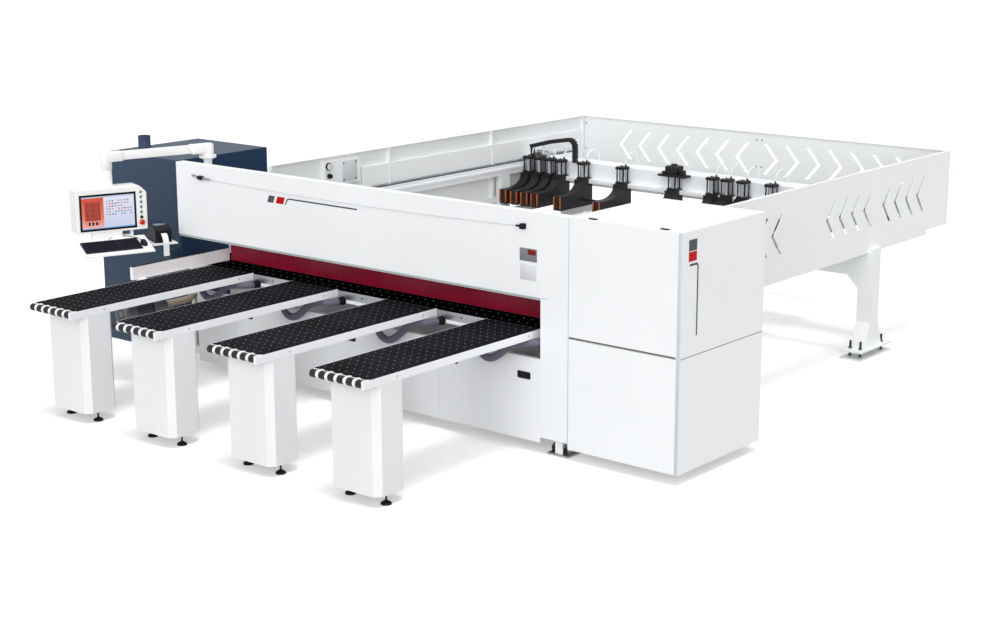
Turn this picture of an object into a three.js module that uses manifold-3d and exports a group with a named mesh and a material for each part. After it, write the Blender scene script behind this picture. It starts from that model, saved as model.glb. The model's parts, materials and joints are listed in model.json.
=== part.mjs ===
// A panel beam saw: four air tables in front of a long saw beam, a saw carriage that runs under
// the table and parks in the right cabinet, a pressure beam, and a pusher with grippers behind.
import * as THREE from 'three';
import { mergeVertices } from 'three/addons/utils/BufferGeometryUtils.js';
import Module from 'manifold-3d';

const wasm = await Module();
wasm.setup();

// All lengths are millimetres. X runs right along the saw line from the rip fence's inner face,
// Y runs to the rear from the beam's front face, and Z runs up from the floor.

// Gaps, and how far a cutter reaches past the face it opens.
const seatGap = 0.3;
const cutOverrun = 2;
const slideGap = 0.6;
const roundSides = 16;
const smallSides = 10;
const hexSides = 6;
const curveSteps = 6;

// The whole machine.
const tableHeight = 980;
const beamLeft = -273;
const beamRight = 4045;
const beamTop = 1920;
const beamBottom = 1251;
const beamCoverDepth = 90;
const columnLeft = 3962;
const cabinetLeft = 4233;
const cabinetWidth = 1027;
const cabinetDepth = 1150;
const cabinetBottom = 84;
const guardLeft = -80;
const guardRight = 4500;
const guardRear = 5930;
const guardTop = 1784;
const guardBottom = 1045;
const sawLine = 470;

// Air tables: the right edge of each, measured from the rip fence.
const airTable1Right = 591;
const airTable2Right = 1653;
const airTable3Right = 2791;
const airTable4Right = 3889;
const airTableWidth = 556;
const airTableLength = 2015;
const airTableThickness = 62;
const airRailLip = 4;
const airRailWall = 26;
const airDeckThickness = 12;
const airTopThickness = 6;
const rollerBay = 70;
const rollerEndWall = 16;
const rollerCount = 6;
const rollerRadius = 30;
const rollerSideGap = 2;
const rollerToothWidth = 26;
const rollerTabWidth = 8;
const rollerTabHeight = 30;
const rollerAxleRadius = 8;
const rollerAxleInset = 4;

// Pedestal legs under the air tables.
const legInset = 2;
const legWidth = 498;
const legDepth = 322;
const legSetback = 124;
const legBottom = 85;
const legChamfer = 50;
const legWall = 5;
const legCapThickness = 10;
const footInset = 48;
const footSpacing = 360;
const footSetback = 136;
const footBarWidth = 60;
const footBarThickness = 12;
const footStudRadius = 7;
const footPadRadius = 40;
const footPadHeight = 32;
const footPadLip = 10;

// Main table with the saw slot.
const mainTableFront = 113;
const mainTableDepth = 482;
const mainTableThickness = 30;
const mainTableLeft = -265;
const mainTableRight = 4225;
const tableTongueLeft = -100;
const tableTongueRight = 3930;
const tableTongueDepth = 255;
const sawSlotWidth = 14;
const sawSlotLeft = -250;
const sawSlotRight = 4190;

// Base frame.
const baseBottom = 130;
const basePlate = 20;
const baseFront = 40;
const baseBack = 900;
const baseTunnelFront = 215;
const baseMidWeb = 600;
const baseEndInset = 70;
const frontBeamDepth = 87;
const frontBeamHeight = 80;
const frontPostWidth = 40;
const frontPostFront = 120;
const middlePostX = 1900;
const lowerRailHeight = 60;
const lowerRailDepth = 60;
const guideRailSize = 30;
const guideRailLow = 300;
const guideRailHigh = 700;
const basePadRadius = 45;
const basePadInset = 60;
const columnFootLeft = 4019;
const columnFootWidth = 200;
const columnFootFront = 20;
const columnFootDepth = 196;
const columnFootThickness = 15;
const columnPillarWidth = 70;
const columnBoltRadius = 13;
const columnBoltSetback = 50;
const columnBoltSpacing = 103;
const columnBoltHeight = 70;

// Front covers: left edge of the first one and the two seams.
const frontCoverLeft = -54;
const frontCoverSeam1 = 465;
const frontCoverSeam2 = 2913;
const frontCoverTop = 763;
const frontCoverBottom = 85;
const coverSheet = 6;
const coverSeamGap = 3;
const handleWidth = 118;
const handleHeight = 46;
const handleDepth = 24;
const handleRight = 103;
const handleTop = 128;

// Rip fence.
const fenceThickness = 40;
const fenceFront = -769;
const fenceBack = 366;
const fenceTop = 1094;
const fenceBracketFront = -700;
const fenceBracketLength = 60;
const fenceBracketDrop = 45;

// Portal beam behind the cover.
const portalFront = 300;
const portalBack = 850;
const portalBottom = 1300;
const portalTop = 1700;
const portalWall = 12;
const portalPostWidth = 120;
const portalPostFront = 600;
const portalRightPost = 4000;
const portalEnd = 4210;
const coverBracketWidth = 40;
const coverBracketDepth = 40;
const coverBracketHeight = 60;
const coverBracketCount = 5;
const coverBracketEnd = 120;
const coverLipDepth = 20;
const coverLipFront = 10;
const coverLipHeight = 18;
const coverReturnDepth = 60;

// Pressure beam and curtain.
const pressureLeft = 12;
const pressureRight = 3948;
const pressureFront = 376;
const pressureBack = 590;
const pressureTop = 1180;
const bladeGrooveWidth = 30;
const bladeGrooveTop = 1100;
const pressureWall = 12;
const guidePostRadius = 20;
const guidePostTop = 1420;
const guidePostCount = 4;
const guidePostInset = 300;
const curtainThickness = 6;
const curtainInset = 4;
const curtainClearance = 3;
const curtainTop = 1176;
const curtainStripCount = 19;
const curtainSlit = 2;
const curtainHem = 24;

// Column cover.
const columnDepth = 112.7;
const columnWall = 6;
const columnUpperBottom = 1250;

// Saw carriage, lift unit and blades, at their parking place.
const carriageInset = 150;
const carriageLength = 750;
const carriagePlate = 30;
const carriageBottom = 270;
const carriageTop = 760;
const truckLength = 120;
const truckLip = 24;
const truckDepth = 28;
const liftPlateInset = 70;
const liftPlateThickness = 35;
const liftPlateBottom = 300;
const liftPlateTop = 680;
const arborX = 4650;
const arborZ = 740;
const arborRadius = 45;
const arborNeckWidth = 100;
const motorX = 4930;
const motorZ = 450;
const motorRadius = 118;
const motorFront = 235;
const mainBladeRadius = 200;
const mainBladeThickness = 5;
const mainBladeTeeth = 48;
const bladeGulletShare = 0.25;
const bladeToothDepth = 9;
const hubRadius = 40;
const hubNutRadius = 28;
const hubNutLength = 12;
const hubLength = 5.2;
const scoringX = 4340;
const scoringZ = 759;
const scoringRadius = 90;
const scoringTeeth = 24;
const scoringArborRadius = 32;
const scoringNutRadius = 20;
const scoringArmHeight = 150;

// Right cabinet.
const cabinetWall = 10;
const cabinetSeamZ = 975;
const cabinetShelf = 20;
const doorThickness = 24;
const doorSheet = 5;
const cornerStripWidth = 32;
const doorEdgeGap = 1;
const seamHeight = 6;
const seamDepth = 3;
const windowFront = 200;
const windowBack = 915;
const windowTop = 955;
const windowBottom = 110;
const shelfSlotWidth = 140;

// Electrical cabinet at the left.
const electricalLeft = -1690;
const electricalWidth = 1020;
const electricalFront = 370;
const electricalDepth = 1130;
const electricalTop = 1850;
const electricalWall = 8;
const electricalSill = 1000;
const plinthOverhang = 30;
const plinthDepth = 123;
const plinthRight = -700;
const electricalDoorGap = 5;
const spoutX = -1618;
const spoutY = 744;
const spoutRadius = 60;
const spoutHeight = 115;
const spoutWall = 6;

// Console: post, arm, monitor, keyboard tray and printer.
const consoleX = -503.5;
const consoleClearance = 44;
const postRadius = 38;
const postFlangeRadius = 62;
const postFlangeThickness = 10;
const postCollarBottom = 1925;
const postCollarHeight = 20;
const postCollarRadius = 80;
const armTurn = -16.1;
const armReach = 990;
const armHubRadius = 58;
const armTubeWidth = 80;
const armTubeBottom = 1975;
const armTubeTop = 2055;
const armElbowBottom = 1905;
const armElbowRadius = 51;
const monitorTurn = 69.4;
const monitorWidth = 650;
const monitorDepth = 200;
const monitorTop = 1745;
const monitorBottom = 1346;
const monitorWall = 4;
const monitorChamfer = 62;
const monitorNeckRadius = 48;
const screenLeft = -288;
const screenWidth = 504;
const screenTop = 1688;
const screenHeight = 313;
const screenThickness = 20;
const screenProud = 1;
const buttonX = 270;
const buttonTop = 1689;
const buttonPitch = 46;
const buttonCount = 5;
const buttonRadius = 11;
const buttonProud = 7;
const buttonFlangeRadius = 14;
const buttonFlange = 4;
const selectorRadius = 15;
const selectorProud = 18;
const selectorRidge = 7;
const stopRadius = 24;
const stopStemRadius = 13;
const stopProud = 26;
const stopHead = 14;
const trayLeft = -355;
const trayWidth = 645;
const trayBack = -84;
const trayReach = 296;
const trayTop = 1292;
const trayDrop = 94;
const trayThickness = 12;
const trayBracketLeft = -185;
const trayBracketWidth = 270;
const trayBracketBack = -20;
const trayBracketFront = -99;
const keyboardLeft = -325;
const keyboardWidth = 520;
const keyboardHeight = 20;
const keyboardStartShare = 0.22;
const keyboardEndShare = 0.84;
const printerArmLeft = 180;
const printerArmWidth = 60;
const printerArmThickness = 12;
const printerShelfLeft = 335;
const printerShelfWidth = 230;
const printerShelfDepth = 295;
const printerShelfFront = -200;
const printerShelfThickness = 12;
const printerShelfTop = 1212;
const printerWidth = 155;
const printerDepth = 215;
const printerInset = 45;
const printerHeight = 150;
const printerBrow = 60;
const printerMouthWidth = 70;
const printerMouthHeight = 70;
const printerMouthLift = 25;
const printerMouthDepth = 30;

// Rear frame with its roller rails and two legs.
const rearLegDepth = 150;
const rearLegWidth = 150;
const rearLegFront = 4300;
const rearLegOverhang = 50;
const rearFootWidth = 230;
const rearFootLength = 600;
const rearFootThickness = 15;
const rearFootLift = 60;
const rearFootSkirt = 90;
const rearSkirtTop = 330;
const rearBoltInsetX = 62;
const rearBoltInsetY = 95;
const rearBoltRadius = 10;
const rearBoltHeight = 165;
const rearNutRadius = 19;
const rearNutHeight = 15;
const rearSillHeight = 46;
const rearSillWidth = 60;
const rearSillBack = 5480;
const rearGussetReach = 120;
const rearGussetWidth = 40;
const rollerRailCount = 5;
const rollerRailFirst = 200;
const rollerRailPitch = 800;
const rollerRailWidth = 60;
const rollerRailHeight = 60;
const rollerRailBack = 5300;
const tableRollerRadius = 15;
const tableRollerSides = 8;
const tableRollerPitch = 480;
const tableRollerWidth = 34;
const crossBeamHeight = 140;
const crossBeamDepth = 100;
const crossBeamYs = [1400, 2800, 5150];

// Pusher rails and the pusher.
const pusherRailWidth = 70;
const pusherRailBottom = 1290;
const pusherRailTop = 1400;
const pusherRailBack = 5650;
const linearRailWidth = 30;
const linearRailHeight = 12;
const gearRackHeight = 24;
const gearRackDepth = 10;
const gearRackDrop = 34;
const pusherFront = 4810;
const pusherDepth = 260;
const pusherBottom = 1200;
const pusherTop = 1440;
const pusherWall = 8;
const pusherBlockTop = 1480;
const pusherBlockLap = 30;
const pusherBlockOverhang = 10;
const pusherBlockInset = 5;
const pusherSideGap = 6;

// Grippers: left face of each, measured from the rip fence.
const gripperLefts = [48, 198, 341, 483, 793, 1307, 1966, 2440, 2615, 2806, 3133];
const gripperWidth = 100;
const toolGripper = 6;
const gripperToeFront = 4250;
const gripperToeLength = 150;
const gripperBottom = 998;
const gripperFingerTop = 1014;
const gripperToeTop = 1150;
const gripperNeckFront = 4615;
const gripperNeckTop = 1285;
const gripperShoulder = 60;
const gripperSweepLength = 90;
const gripperSweepDrop = 102;
const gripperInstepRise = 12;
const gripperBarDepth = 70;
const gripperBarHeight = 50;
const cylinderRadius = 38;
const cylinderTop = 1446;
const cylinderCapSide = 104;
const cylinderCapHeight = 20;
const liftBarFront = 4640;
const liftBarDepth = 40;
const liftBarBottom = 1060;
const liftBarHeight = 20;
const jawArmWidth = 30;
const jawTravel = 40;
const jawWindowGap = 5;
const toolPlateWidth = 330;
const toolPlateDepth = 130;
const toolBlockWidth = 150;
const toolBlockHeight = 80;
const chainLeft = 80;
const chainRight = 700;
const chainTop = 1705;
const chainLeftTop = 1590;
const chainBend = 95;
const chainBand = 45;
const chainWidth = 60;

// Guards.
const guardSheet = 4;
const guardFlange = 39.7;
const guardLeftFront = 959;
const guardRibWidth = 20;
const guardRibCount = 4;
const chevronHeight = 330;
const chevronReach = 140;
const chevronStroke = 38;
const rearChevronZ = 1498;
const rearChevronPitch = 258;
const rearChevronFirst = 444;
const rearChevronCount = 7;
const rearSeamX = 2292;
const rearChevronSeamGap = 235;
const sideChevronZ = 1420;
const sideChevronHeight = 345;
const sideChevronPitch = 230;
const sideChevronCount = 4;
const sideChevronRow1 = 1828;
const sideChevronRow2 = 3463;
const sideChevronRow3 = 4530;
const ductFront = 2200;
const ductBack = 5800;
const ductBottom = 1420;
const ductTop = 1625;
const ductReach = 31;
const serviceFront = 1650;
const serviceLength = 500;
const serviceBottom = 1500;
const serviceTop = 1745;
const serviceReach = 56;
const regulatorY = 1705;
const regulatorZ = 1600;
const regulatorRadius = 24;
const regulatorLength = 36;
const regulatorGrips = 12;

// Places worked out from the sizes above.
const cabinetRight = cabinetLeft + cabinetWidth;
const airTableBack = mainTableFront - seatGap;
const airTableFront = airTableBack - airTableLength;
const airTableBottom = tableHeight - airTableThickness;
const baseTop = tableHeight - mainTableThickness - seatGap;
const mainTableBack = mainTableFront + mainTableDepth;
const baseRight = cabinetRight - baseEndInset;
const airTableRights = [airTable1Right, airTable2Right, airTable3Right, airTable4Right];

// Colours from the photograph.
const white = 0xeef0f2;
const black = 0x28292d;
const slate = 0x3d4a5c;
const red = 0x73101f;
const steel = 0x9a9da2;
const fencePaint = 0xd0cbcc;
const buttonGrey = 0x8b8f94;
const stopRed = 0xc8201e;

function finish(colour, roughness = 0.45, metalness = 0.1) {
  return new THREE.MeshStandardMaterial({ color: colour, roughness, metalness });
}

// Solids and how they join.
function block([x0, x1], [y0, y1], [z0, z1]) {
  const geometry = new THREE.BoxGeometry(x1 - x0, y1 - y0, z1 - z0);
  return solid(geometry.translate((x0 + x1) / 2, (y0 + y1) / 2, (z0 + z1) / 2));
}

function solid(geometry) {
  const bare = geometry.clone();
  bare.deleteAttribute('normal');
  bare.deleteAttribute('uv');
  const merged = mergeVertices(bare);
  const vertProperties = new Float32Array(merged.attributes.position.array);
  const triVerts = new Uint32Array(merged.index.array);
  return new wasm.Manifold(new wasm.Mesh({ numProp: 3, vertProperties, triVerts }));
}

const join = (...solids) => solids.reduce((whole, next) => whole.add(next));
const cut = (whole, ...cutters) => cutters.reduce((rest, next) => rest.subtract(next), whole);

function geometryOf(manifold) {
  const { vertProperties, triVerts } = manifold.getMesh();
  const geometry = new THREE.BufferGeometry();
  geometry.setAttribute('position', new THREE.BufferAttribute(vertProperties, 3));
  geometry.setIndex(new THREE.BufferAttribute(triVerts, 1));
  return geometry;
}

const alongX = new THREE.Vector3(1, 0, 0);
const alongY = new THREE.Vector3(0, 1, 0);
const alongZ = new THREE.Vector3(0, 0, 1);

function extruded(outline, depth) {
  return new THREE.ExtrudeGeometry(outline, { depth, bevelEnabled: false, curveSegments: curveSteps });
}

// An outline in Y and Z, carried along X.
function prismX(outline, x0, x1) {
  const geometry = extruded(outline, x1 - x0);
  geometry.applyMatrix4(new THREE.Matrix4().makeBasis(alongY, alongZ, alongX));
  return solid(geometry.translate(x0, 0, 0));
}

// An outline in X and Z, carried along Y.
function prismY(outline, y0, y1) {
  const geometry = extruded(outline, y1 - y0);
  geometry.applyMatrix4(new THREE.Matrix4().makeBasis(alongX, alongZ, alongY.clone().negate()));
  return solid(geometry.translate(0, y1, 0));
}

// An outline in X and Y, carried up Z.
function prismZ(outline, z0, z1) {
  return solid(extruded(outline, z1 - z0).translate(0, 0, z0));
}

function polygon(points) {
  return new THREE.Shape(points.map(([a, b]) => new THREE.Vector2(a, b)));
}

function rodX(y, z, radius, x0, x1, sides = roundSides) {
  const geometry = new THREE.CylinderGeometry(radius, radius, x1 - x0, sides);
  return solid(geometry.rotateZ(Math.PI / 2).translate((x0 + x1) / 2, y, z));
}

function rodY(x, z, radius, y0, y1, sides = roundSides) {
  const geometry = new THREE.CylinderGeometry(radius, radius, y1 - y0, sides);
  return solid(geometry.translate(x, (y0 + y1) / 2, z));
}

function rodZ(x, y, radius, z0, z1, sides = roundSides) {
  const geometry = new THREE.CylinderGeometry(radius, radius, z1 - z0, sides);
  return solid(geometry.rotateX(Math.PI / 2).translate(x, y, (z0 + z1) / 2));
}

const machine = new THREE.Group();

function place(name, manifold, material, parent = machine) {
  const mesh = new THREE.Mesh(geometryOf(manifold), material);
  mesh.name = name;
  parent.add(mesh);
}

// Air table frame: a tray with white side rails, and teeth at the front end that hold the rollers. The
// right rail runs on past them with a square end, and a low tab holds the axle at the left.
function airTableFrame(right) {
  const left = right - airTableWidth;
  const deckFront = airTableFront + rollerBay;
  const deckTop = tableHeight - airTopThickness;
  const toothBack = deckFront + rollerEndWall / 2;
  const tray = block([left, right], [deckFront, airTableBack], [airTableBottom, tableHeight]);
  const pocket = block(
    [left + airRailLip, right - airRailLip],
    [deckFront, airTableBack + cutOverrun],
    [deckTop, tableHeight + cutOverrun],
  );
  const hollow = block(
    [left + airRailWall, right - airRailWall],
    [deckFront + rollerEndWall, airTableBack - airRailWall],
    [airTableBottom - cutOverrun, deckTop - airDeckThickness],
  );
  const noseRadius = airTableThickness / 2;
  const noseY = airTableFront + noseRadius;
  const noseZ = airTableBottom + noseRadius;
  const tooth = new THREE.Shape();
  tooth.moveTo(noseY, airTableBottom);
  tooth.lineTo(toothBack, airTableBottom);
  tooth.lineTo(toothBack, tableHeight);
  tooth.lineTo(noseY, tableHeight);
  tooth.absarc(noseY, noseZ, noseRadius, Math.PI / 2, Math.PI * 1.5, false);
  const pitch = (airTableWidth - rollerTabWidth) / rollerCount;
  const teeth = Array.from({ length: rollerCount - 1 }, (_, i) => {
    const toothRight = left + rollerTabWidth + (i + 1) * pitch;
    return prismX(tooth, toothRight - rollerToothWidth, toothRight);
  });
  const railEnd = block(
    [right - rollerToothWidth, right],
    [airTableFront, toothBack],
    [airTableBottom, tableHeight],
  );
  const tab = block(
    [left, left + rollerTabWidth],
    [noseY - rollerTabHeight / 2, toothBack],
    [noseZ - rollerTabHeight / 2, noseZ + rollerTabHeight / 2],
  );
  const boreRadius = rollerAxleRadius + slideGap;
  const boreX = [left - cutOverrun, right - rollerAxleInset];
  const bore = rodX(noseY, noseZ, boreRadius, ...boreX, smallSides);
  return cut(join(tray, tab, railEnd, ...teeth), pocket, hollow, bore);
}

function airTableTop(right) {
  const left = right - airTableWidth;
  return block(
    [left + airRailLip + seatGap, right - airRailLip - seatGap],
    [airTableFront + rollerBay + seatGap, airTableBack],
    [tableHeight - airTopThickness + seatGap, tableHeight],
  );
}

// Six rollers on one axle, between the frame's teeth.
function airTableRollers(right) {
  const left = right - airTableWidth;
  const axleY = airTableFront + airTableThickness / 2;
  const axleZ = airTableBottom + airTableThickness / 2;
  const pitch = (airTableWidth - rollerTabWidth) / rollerCount;
  const axleEnds = [left, right - rollerAxleInset - slideGap];
  const axle = rodX(axleY, axleZ, rollerAxleRadius, ...axleEnds, smallSides);
  const rollers = Array.from({ length: rollerCount }, (_, i) => {
    const start = left + rollerTabWidth + i * pitch;
    const end = start + pitch - rollerToothWidth;
    return rodX(axleY, axleZ, rollerRadius, start + rollerSideGap, end - rollerSideGap);
  });
  return join(axle, ...rollers);
}

function chamferedOutline(x0, x1, y0, y1, chamfer) {
  return polygon([
    [x0 + chamfer, y0], [x1 - chamfer, y0], [x1, y0 + chamfer], [x1, y1 - chamfer],
    [x1 - chamfer, y1], [x0 + chamfer, y1], [x0, y1 - chamfer], [x0, y0 + chamfer],
  ]);
}

// A levelling foot: a stud on a round pad.
function levellingFoot(x, y, top) {
  const stud = rodZ(x, y, footStudRadius, footPadHeight / 2, top, smallSides);
  const profile = [
    [0, 0], [footPadRadius, 0], [footPadRadius, footPadLip],
    [footStudRadius, footPadHeight], [0, footPadHeight],
  ];
  const pad = new THREE.LatheGeometry(profile.map(([r, h]) => new THREE.Vector2(r, h)), smallSides);
  return join(stud, solid(pad.rotateX(Math.PI / 2).translate(x, y, 0)));
}

function airTableLeg(right) {
  const x1 = right - legInset;
  const x0 = x1 - legWidth;
  const y0 = airTableFront + legSetback;
  const y1 = y0 + legDepth;
  const top = airTableBottom - seatGap;
  const shell = cut(
    prismZ(chamferedOutline(x0, x1, y0, y1, legChamfer), legBottom, top),
    prismZ(
      chamferedOutline(x0 + legWall, x1 - legWall, y0 + legWall, y1 - legWall, legChamfer),
      legBottom - cutOverrun, top - legCapThickness,
    ),
  );
  const footY = y0 + footSetback;
  const bar = block(
    [x0 + legWall / 2, x1 - legWall / 2],
    [footY - footBarWidth / 2, footY + footBarWidth / 2],
    [legBottom, legBottom + footBarThickness],
  );
  const studTop = legBottom + footBarThickness / 2;
  const footX = x1 - footInset;
  const feet = [footX - footSpacing, footX].map((x) => levellingFoot(x, footY, studTop));
  return join(shell, bar, ...feet);
}

airTableRights.forEach((right, i) => {
  const name = `air_table_${i + 1}`;
  place(`${name}_frame`, airTableFrame(right), finish(white));
  place(`${name}_top`, airTableTop(right), finish(black, 0.6));
  place(`${name}_rollers`, airTableRollers(right), finish(black, 0.5));
  place(`${name}_leg`, airTableLeg(right), finish(white));
});

// Base frame: a box beam behind the saw's tunnel, a front beam on posts, guide rails and feet.
function baseFrame() {
  const whole = [beamLeft, baseRight];
  const frontEnd = mainTableRight;
  const frontBack = mainTableFront + frontBeamDepth;
  const lowerRailZ = [baseBottom, baseBottom + lowerRailHeight];
  const lowerRailEnds = [beamLeft, columnLeft - seatGap];
  const parts = [
    block(whole, [baseTunnelFront, baseBack], [baseBottom, baseBottom + basePlate]),
    block(whole, [baseMidWeb, baseMidWeb + basePlate], [baseBottom, baseTop]),
    block(whole, [baseBack - basePlate, baseBack], [baseBottom, baseTop]),
    block(whole, [baseMidWeb, baseBack], [baseTop - basePlate, baseTop]),
    block([beamLeft, frontEnd], [mainTableFront, frontBack], [baseTop - frontBeamHeight, baseTop]),
    block(lowerRailEnds, [baseFront, baseFront + lowerRailDepth], lowerRailZ),
  ];
  const tieBack = baseTunnelFront + basePlate;
  const postLefts = [beamLeft, middlePostX, frontEnd - frontPostWidth];
  for (const x of postLefts) {
    const post = [x, x + frontPostWidth];
    parts.push(block(post, [frontPostFront, frontBack], [baseBottom, baseTop]));
    parts.push(block(post, [frontPostFront, tieBack], lowerRailZ));
  }
  for (const x of postLefts.slice(0, 2)) {
    parts.push(block([x, x + frontPostWidth], [baseFront, frontBack], lowerRailZ));
  }
  const guideRailY = [baseMidWeb - guideRailSize, baseMidWeb + basePlate / 2];
  for (const z of [guideRailLow, guideRailHigh]) {
    parts.push(block(whole, guideRailY, [z, z + guideRailSize]));
  }
  const padXs = [beamLeft + basePadInset, middlePostX, cabinetLeft - basePadInset];
  for (const x of padXs) {
    for (const y of [baseTunnelFront + basePadInset, baseBack - basePadInset]) {
      parts.push(rodZ(x, y, basePadRadius, 0, baseBottom + basePlate / 2, smallSides));
    }
  }
  const footX = [columnFootLeft, columnFootLeft + columnFootWidth];
  const footEnd = columnFootFront + columnFootDepth;
  const pillarX = (footX[0] + footX[1]) / 2;
  const pillar = [pillarX - columnPillarWidth / 2, pillarX + columnPillarWidth / 2];
  const boltZ = [columnFootThickness / 2, columnFootThickness + columnBoltHeight];
  parts.push(block(footX, [columnFootFront, footEnd], [0, columnFootThickness]));
  parts.push(block(pillar, [baseFront, footEnd], [columnFootThickness / 2, lowerRailZ[1]]));
  parts.push(block(pillar, [baseFront, tieBack], lowerRailZ));
  const boltX = footX[0] + columnPillarWidth / 2;
  for (const x of [boltX, boltX + columnBoltSpacing]) {
    parts.push(rodZ(x, columnFootFront + columnBoltSetback, columnBoltRadius, ...boltZ, smallSides));
  }
  return join(...parts);
}
place('base_frame', baseFrame(), finish(white));

// Front covers: sheet pans that hang on the base's lower rail.
function frontCover(x0, x1) {
  const pan = block([x0, x1], [0, baseFront - seatGap], [frontCoverBottom, frontCoverTop]);
  const inside = block(
    [x0 + coverSheet, x1 - coverSheet],
    [coverSheet, baseFront],
    [frontCoverBottom + coverSheet, frontCoverTop - coverSheet],
  );
  return cut(pan, inside);
}

// The right cover has a sunk grip.
function rightFrontCover(x0, x1) {
  const gripTop = frontCoverTop - handleTop;
  const gripX = [x1 - handleRight - handleWidth, x1 - handleRight];
  const gripZ = [gripTop - handleHeight, gripTop];
  const cup = block(
    [gripX[0] - coverSheet, gripX[1] + coverSheet], [coverSheet / 2, handleDepth + coverSheet],
    [gripZ[0] - coverSheet, gripZ[1] + coverSheet],
  );
  return cut(join(frontCover(x0, x1), cup), block(gripX, [-cutOverrun, handleDepth], gripZ));
}
const halfSeam = coverSeamGap / 2;
const middleCover = [frontCoverSeam1 + halfSeam, frontCoverSeam2 - halfSeam];
const rightCover = [frontCoverSeam2 + halfSeam, columnLeft - seatGap];
place('front_cover_left', frontCover(frontCoverLeft, frontCoverSeam1 - halfSeam), finish(white));
place('front_cover_middle', frontCover(...middleCover), finish(white));
place('front_cover_right', rightFrontCover(...rightCover), finish(white));

// Main table: one plate with the saw slot, and a tongue between the portal's posts.
function mainTable() {
  const tongueBack = mainTableBack + tableTongueDepth;
  const outline = polygon([
    [mainTableLeft, mainTableFront], [mainTableRight, mainTableFront], [mainTableRight, mainTableBack],
    [tableTongueRight, mainTableBack], [tableTongueRight, tongueBack],
    [tableTongueLeft, tongueBack], [tableTongueLeft, mainTableBack], [mainTableLeft, mainTableBack],
  ]);
  const slot = block(
    [sawSlotLeft, sawSlotRight],
    [sawLine - sawSlotWidth / 2, sawLine + sawSlotWidth / 2],
    [baseTop, tableHeight + cutOverrun],
  );
  return cut(prismZ(outline, tableHeight - mainTableThickness, tableHeight), slot);
}
place('main_table', mainTable(), finish(black, 0.6));

function ripFence() {
  const bottom = tableHeight + seatGap;
  const bar = block([-fenceThickness, 0], [fenceFront, fenceBack], [bottom, fenceTop]);
  const bracket = block(
    [-fenceThickness, airTable1Right - airTableWidth - seatGap],
    [fenceBracketFront, fenceBracketFront + fenceBracketLength],
    [tableHeight - fenceBracketDrop, tableHeight],
  );
  const web = block(
    [-fenceThickness, 0],
    [fenceBracketFront, fenceBracketFront + fenceBracketLength],
    [tableHeight - fenceBracketDrop, fenceTop],
  );
  return join(bar, bracket, web);
}
place('rip_fence', ripFence(), finish(fencePaint, 0.4, 0.3));

// Beam cover: front sheet, top flange, bottom return with its lip, and a left end plate.
function beamCover() {
  const outline = polygon([
    [0, beamBottom], [coverReturnDepth, beamBottom], [coverReturnDepth, beamBottom + coverSheet],
    [coverSheet, beamBottom + coverSheet], [coverSheet, beamTop - coverSheet],
    [beamCoverDepth, beamTop - coverSheet], [beamCoverDepth, beamTop], [0, beamTop],
  ]);
  const end = block([beamLeft, beamLeft + coverSheet], [0, beamCoverDepth], [beamBottom, beamTop]);
  const lip = block(
    [beamLeft, columnLeft - seatGap],
    [coverLipFront, coverLipFront + coverLipDepth],
    [beamBottom - coverLipHeight, beamBottom + coverSheet / 2],
  );
  return join(prismX(outline, beamLeft, beamRight), end, lip);
}
place('beam_cover', beamCover(), finish(white));

// Portal beam: a hollow box beam on two posts, with brackets that carry the cover.
function portalBeam() {
  const span = [beamLeft + seatGap, portalEnd];
  const postBottom = baseTop + seatGap;
  const tube = block(span, [portalFront, portalBack], [portalBottom, portalTop]);
  const hollow = block(
    [span[0] - cutOverrun, span[1] + cutOverrun],
    [portalFront + portalWall, portalBack - portalWall],
    [portalBottom + portalWall, portalTop - portalWall],
  );
  const postY = [portalPostFront, portalBack];
  const postZ = [postBottom, portalBottom + portalWall / 2];
  const posts = [span[0], portalRightPost].map((x) => block([x, x + portalPostWidth], postY, postZ));
  const step = (beamRight - beamLeft - 2 * coverBracketEnd) / (coverBracketCount - 1);
  const brackets = Array.from({ length: coverBracketCount }, (_, i) => {
    const x = beamLeft + coverBracketEnd + i * step;
    const width = [x - coverBracketWidth / 2, x + coverBracketWidth / 2];
    const front = coverSheet + seatGap;
    const bottom = portalTop - coverBracketHeight;
    return join(
      block(width, [front, portalFront + portalWall / 2], [bottom, portalTop]),
      block(width, [front, front + coverBracketDepth], [bottom, beamTop - coverSheet - seatGap]),
    );
  });
  const holeZ = [portalBottom - cutOverrun, portalBottom + portalWall + cutOverrun];
  const holes = guidePostXs().map((x) => rodZ(x, guidePostY(), guidePostRadius + slideGap, ...holeZ));
  return cut(join(cut(tube, hollow), ...posts, ...brackets), ...holes);
}

function guidePostXs() {
  const step = (pressureRight - pressureLeft - 2 * guidePostInset) / (guidePostCount - 1);
  return Array.from({ length: guidePostCount }, (_, i) => pressureLeft + guidePostInset + i * step);
}

function guidePostY() {
  return (pressureFront + pressureBack) / 2;
}
place('portal_beam', portalBeam(), finish(white));

// Pressure beam: two jaws either side of the blade's groove, and guide posts into the portal.
function pressureBeam() {
  const bottom = tableHeight + seatGap;
  const body = block([pressureLeft, pressureRight], [pressureFront, pressureBack], [bottom, pressureTop]);
  const groove = block(
    [pressureLeft - cutOverrun, pressureRight + cutOverrun],
    [sawLine - bladeGrooveWidth / 2, sawLine + bladeGrooveWidth / 2],
    [bottom - cutOverrun, bladeGrooveTop],
  );
  const hollow = block(
    [pressureLeft - cutOverrun, pressureRight + cutOverrun],
    [pressureFront + pressureWall, pressureBack - pressureWall],
    [bladeGrooveTop + pressureWall, pressureTop - pressureWall],
  );
  const postZ = [pressureTop - pressureWall / 2, guidePostTop];
  const posts = guidePostXs().map((x) => rodZ(x, guidePostY(), guidePostRadius, ...postZ));
  return join(cut(body, groove, hollow), ...posts);
}
place('pressure_beam', pressureBeam(), finish(steel, 0.5, 0.4));

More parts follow.
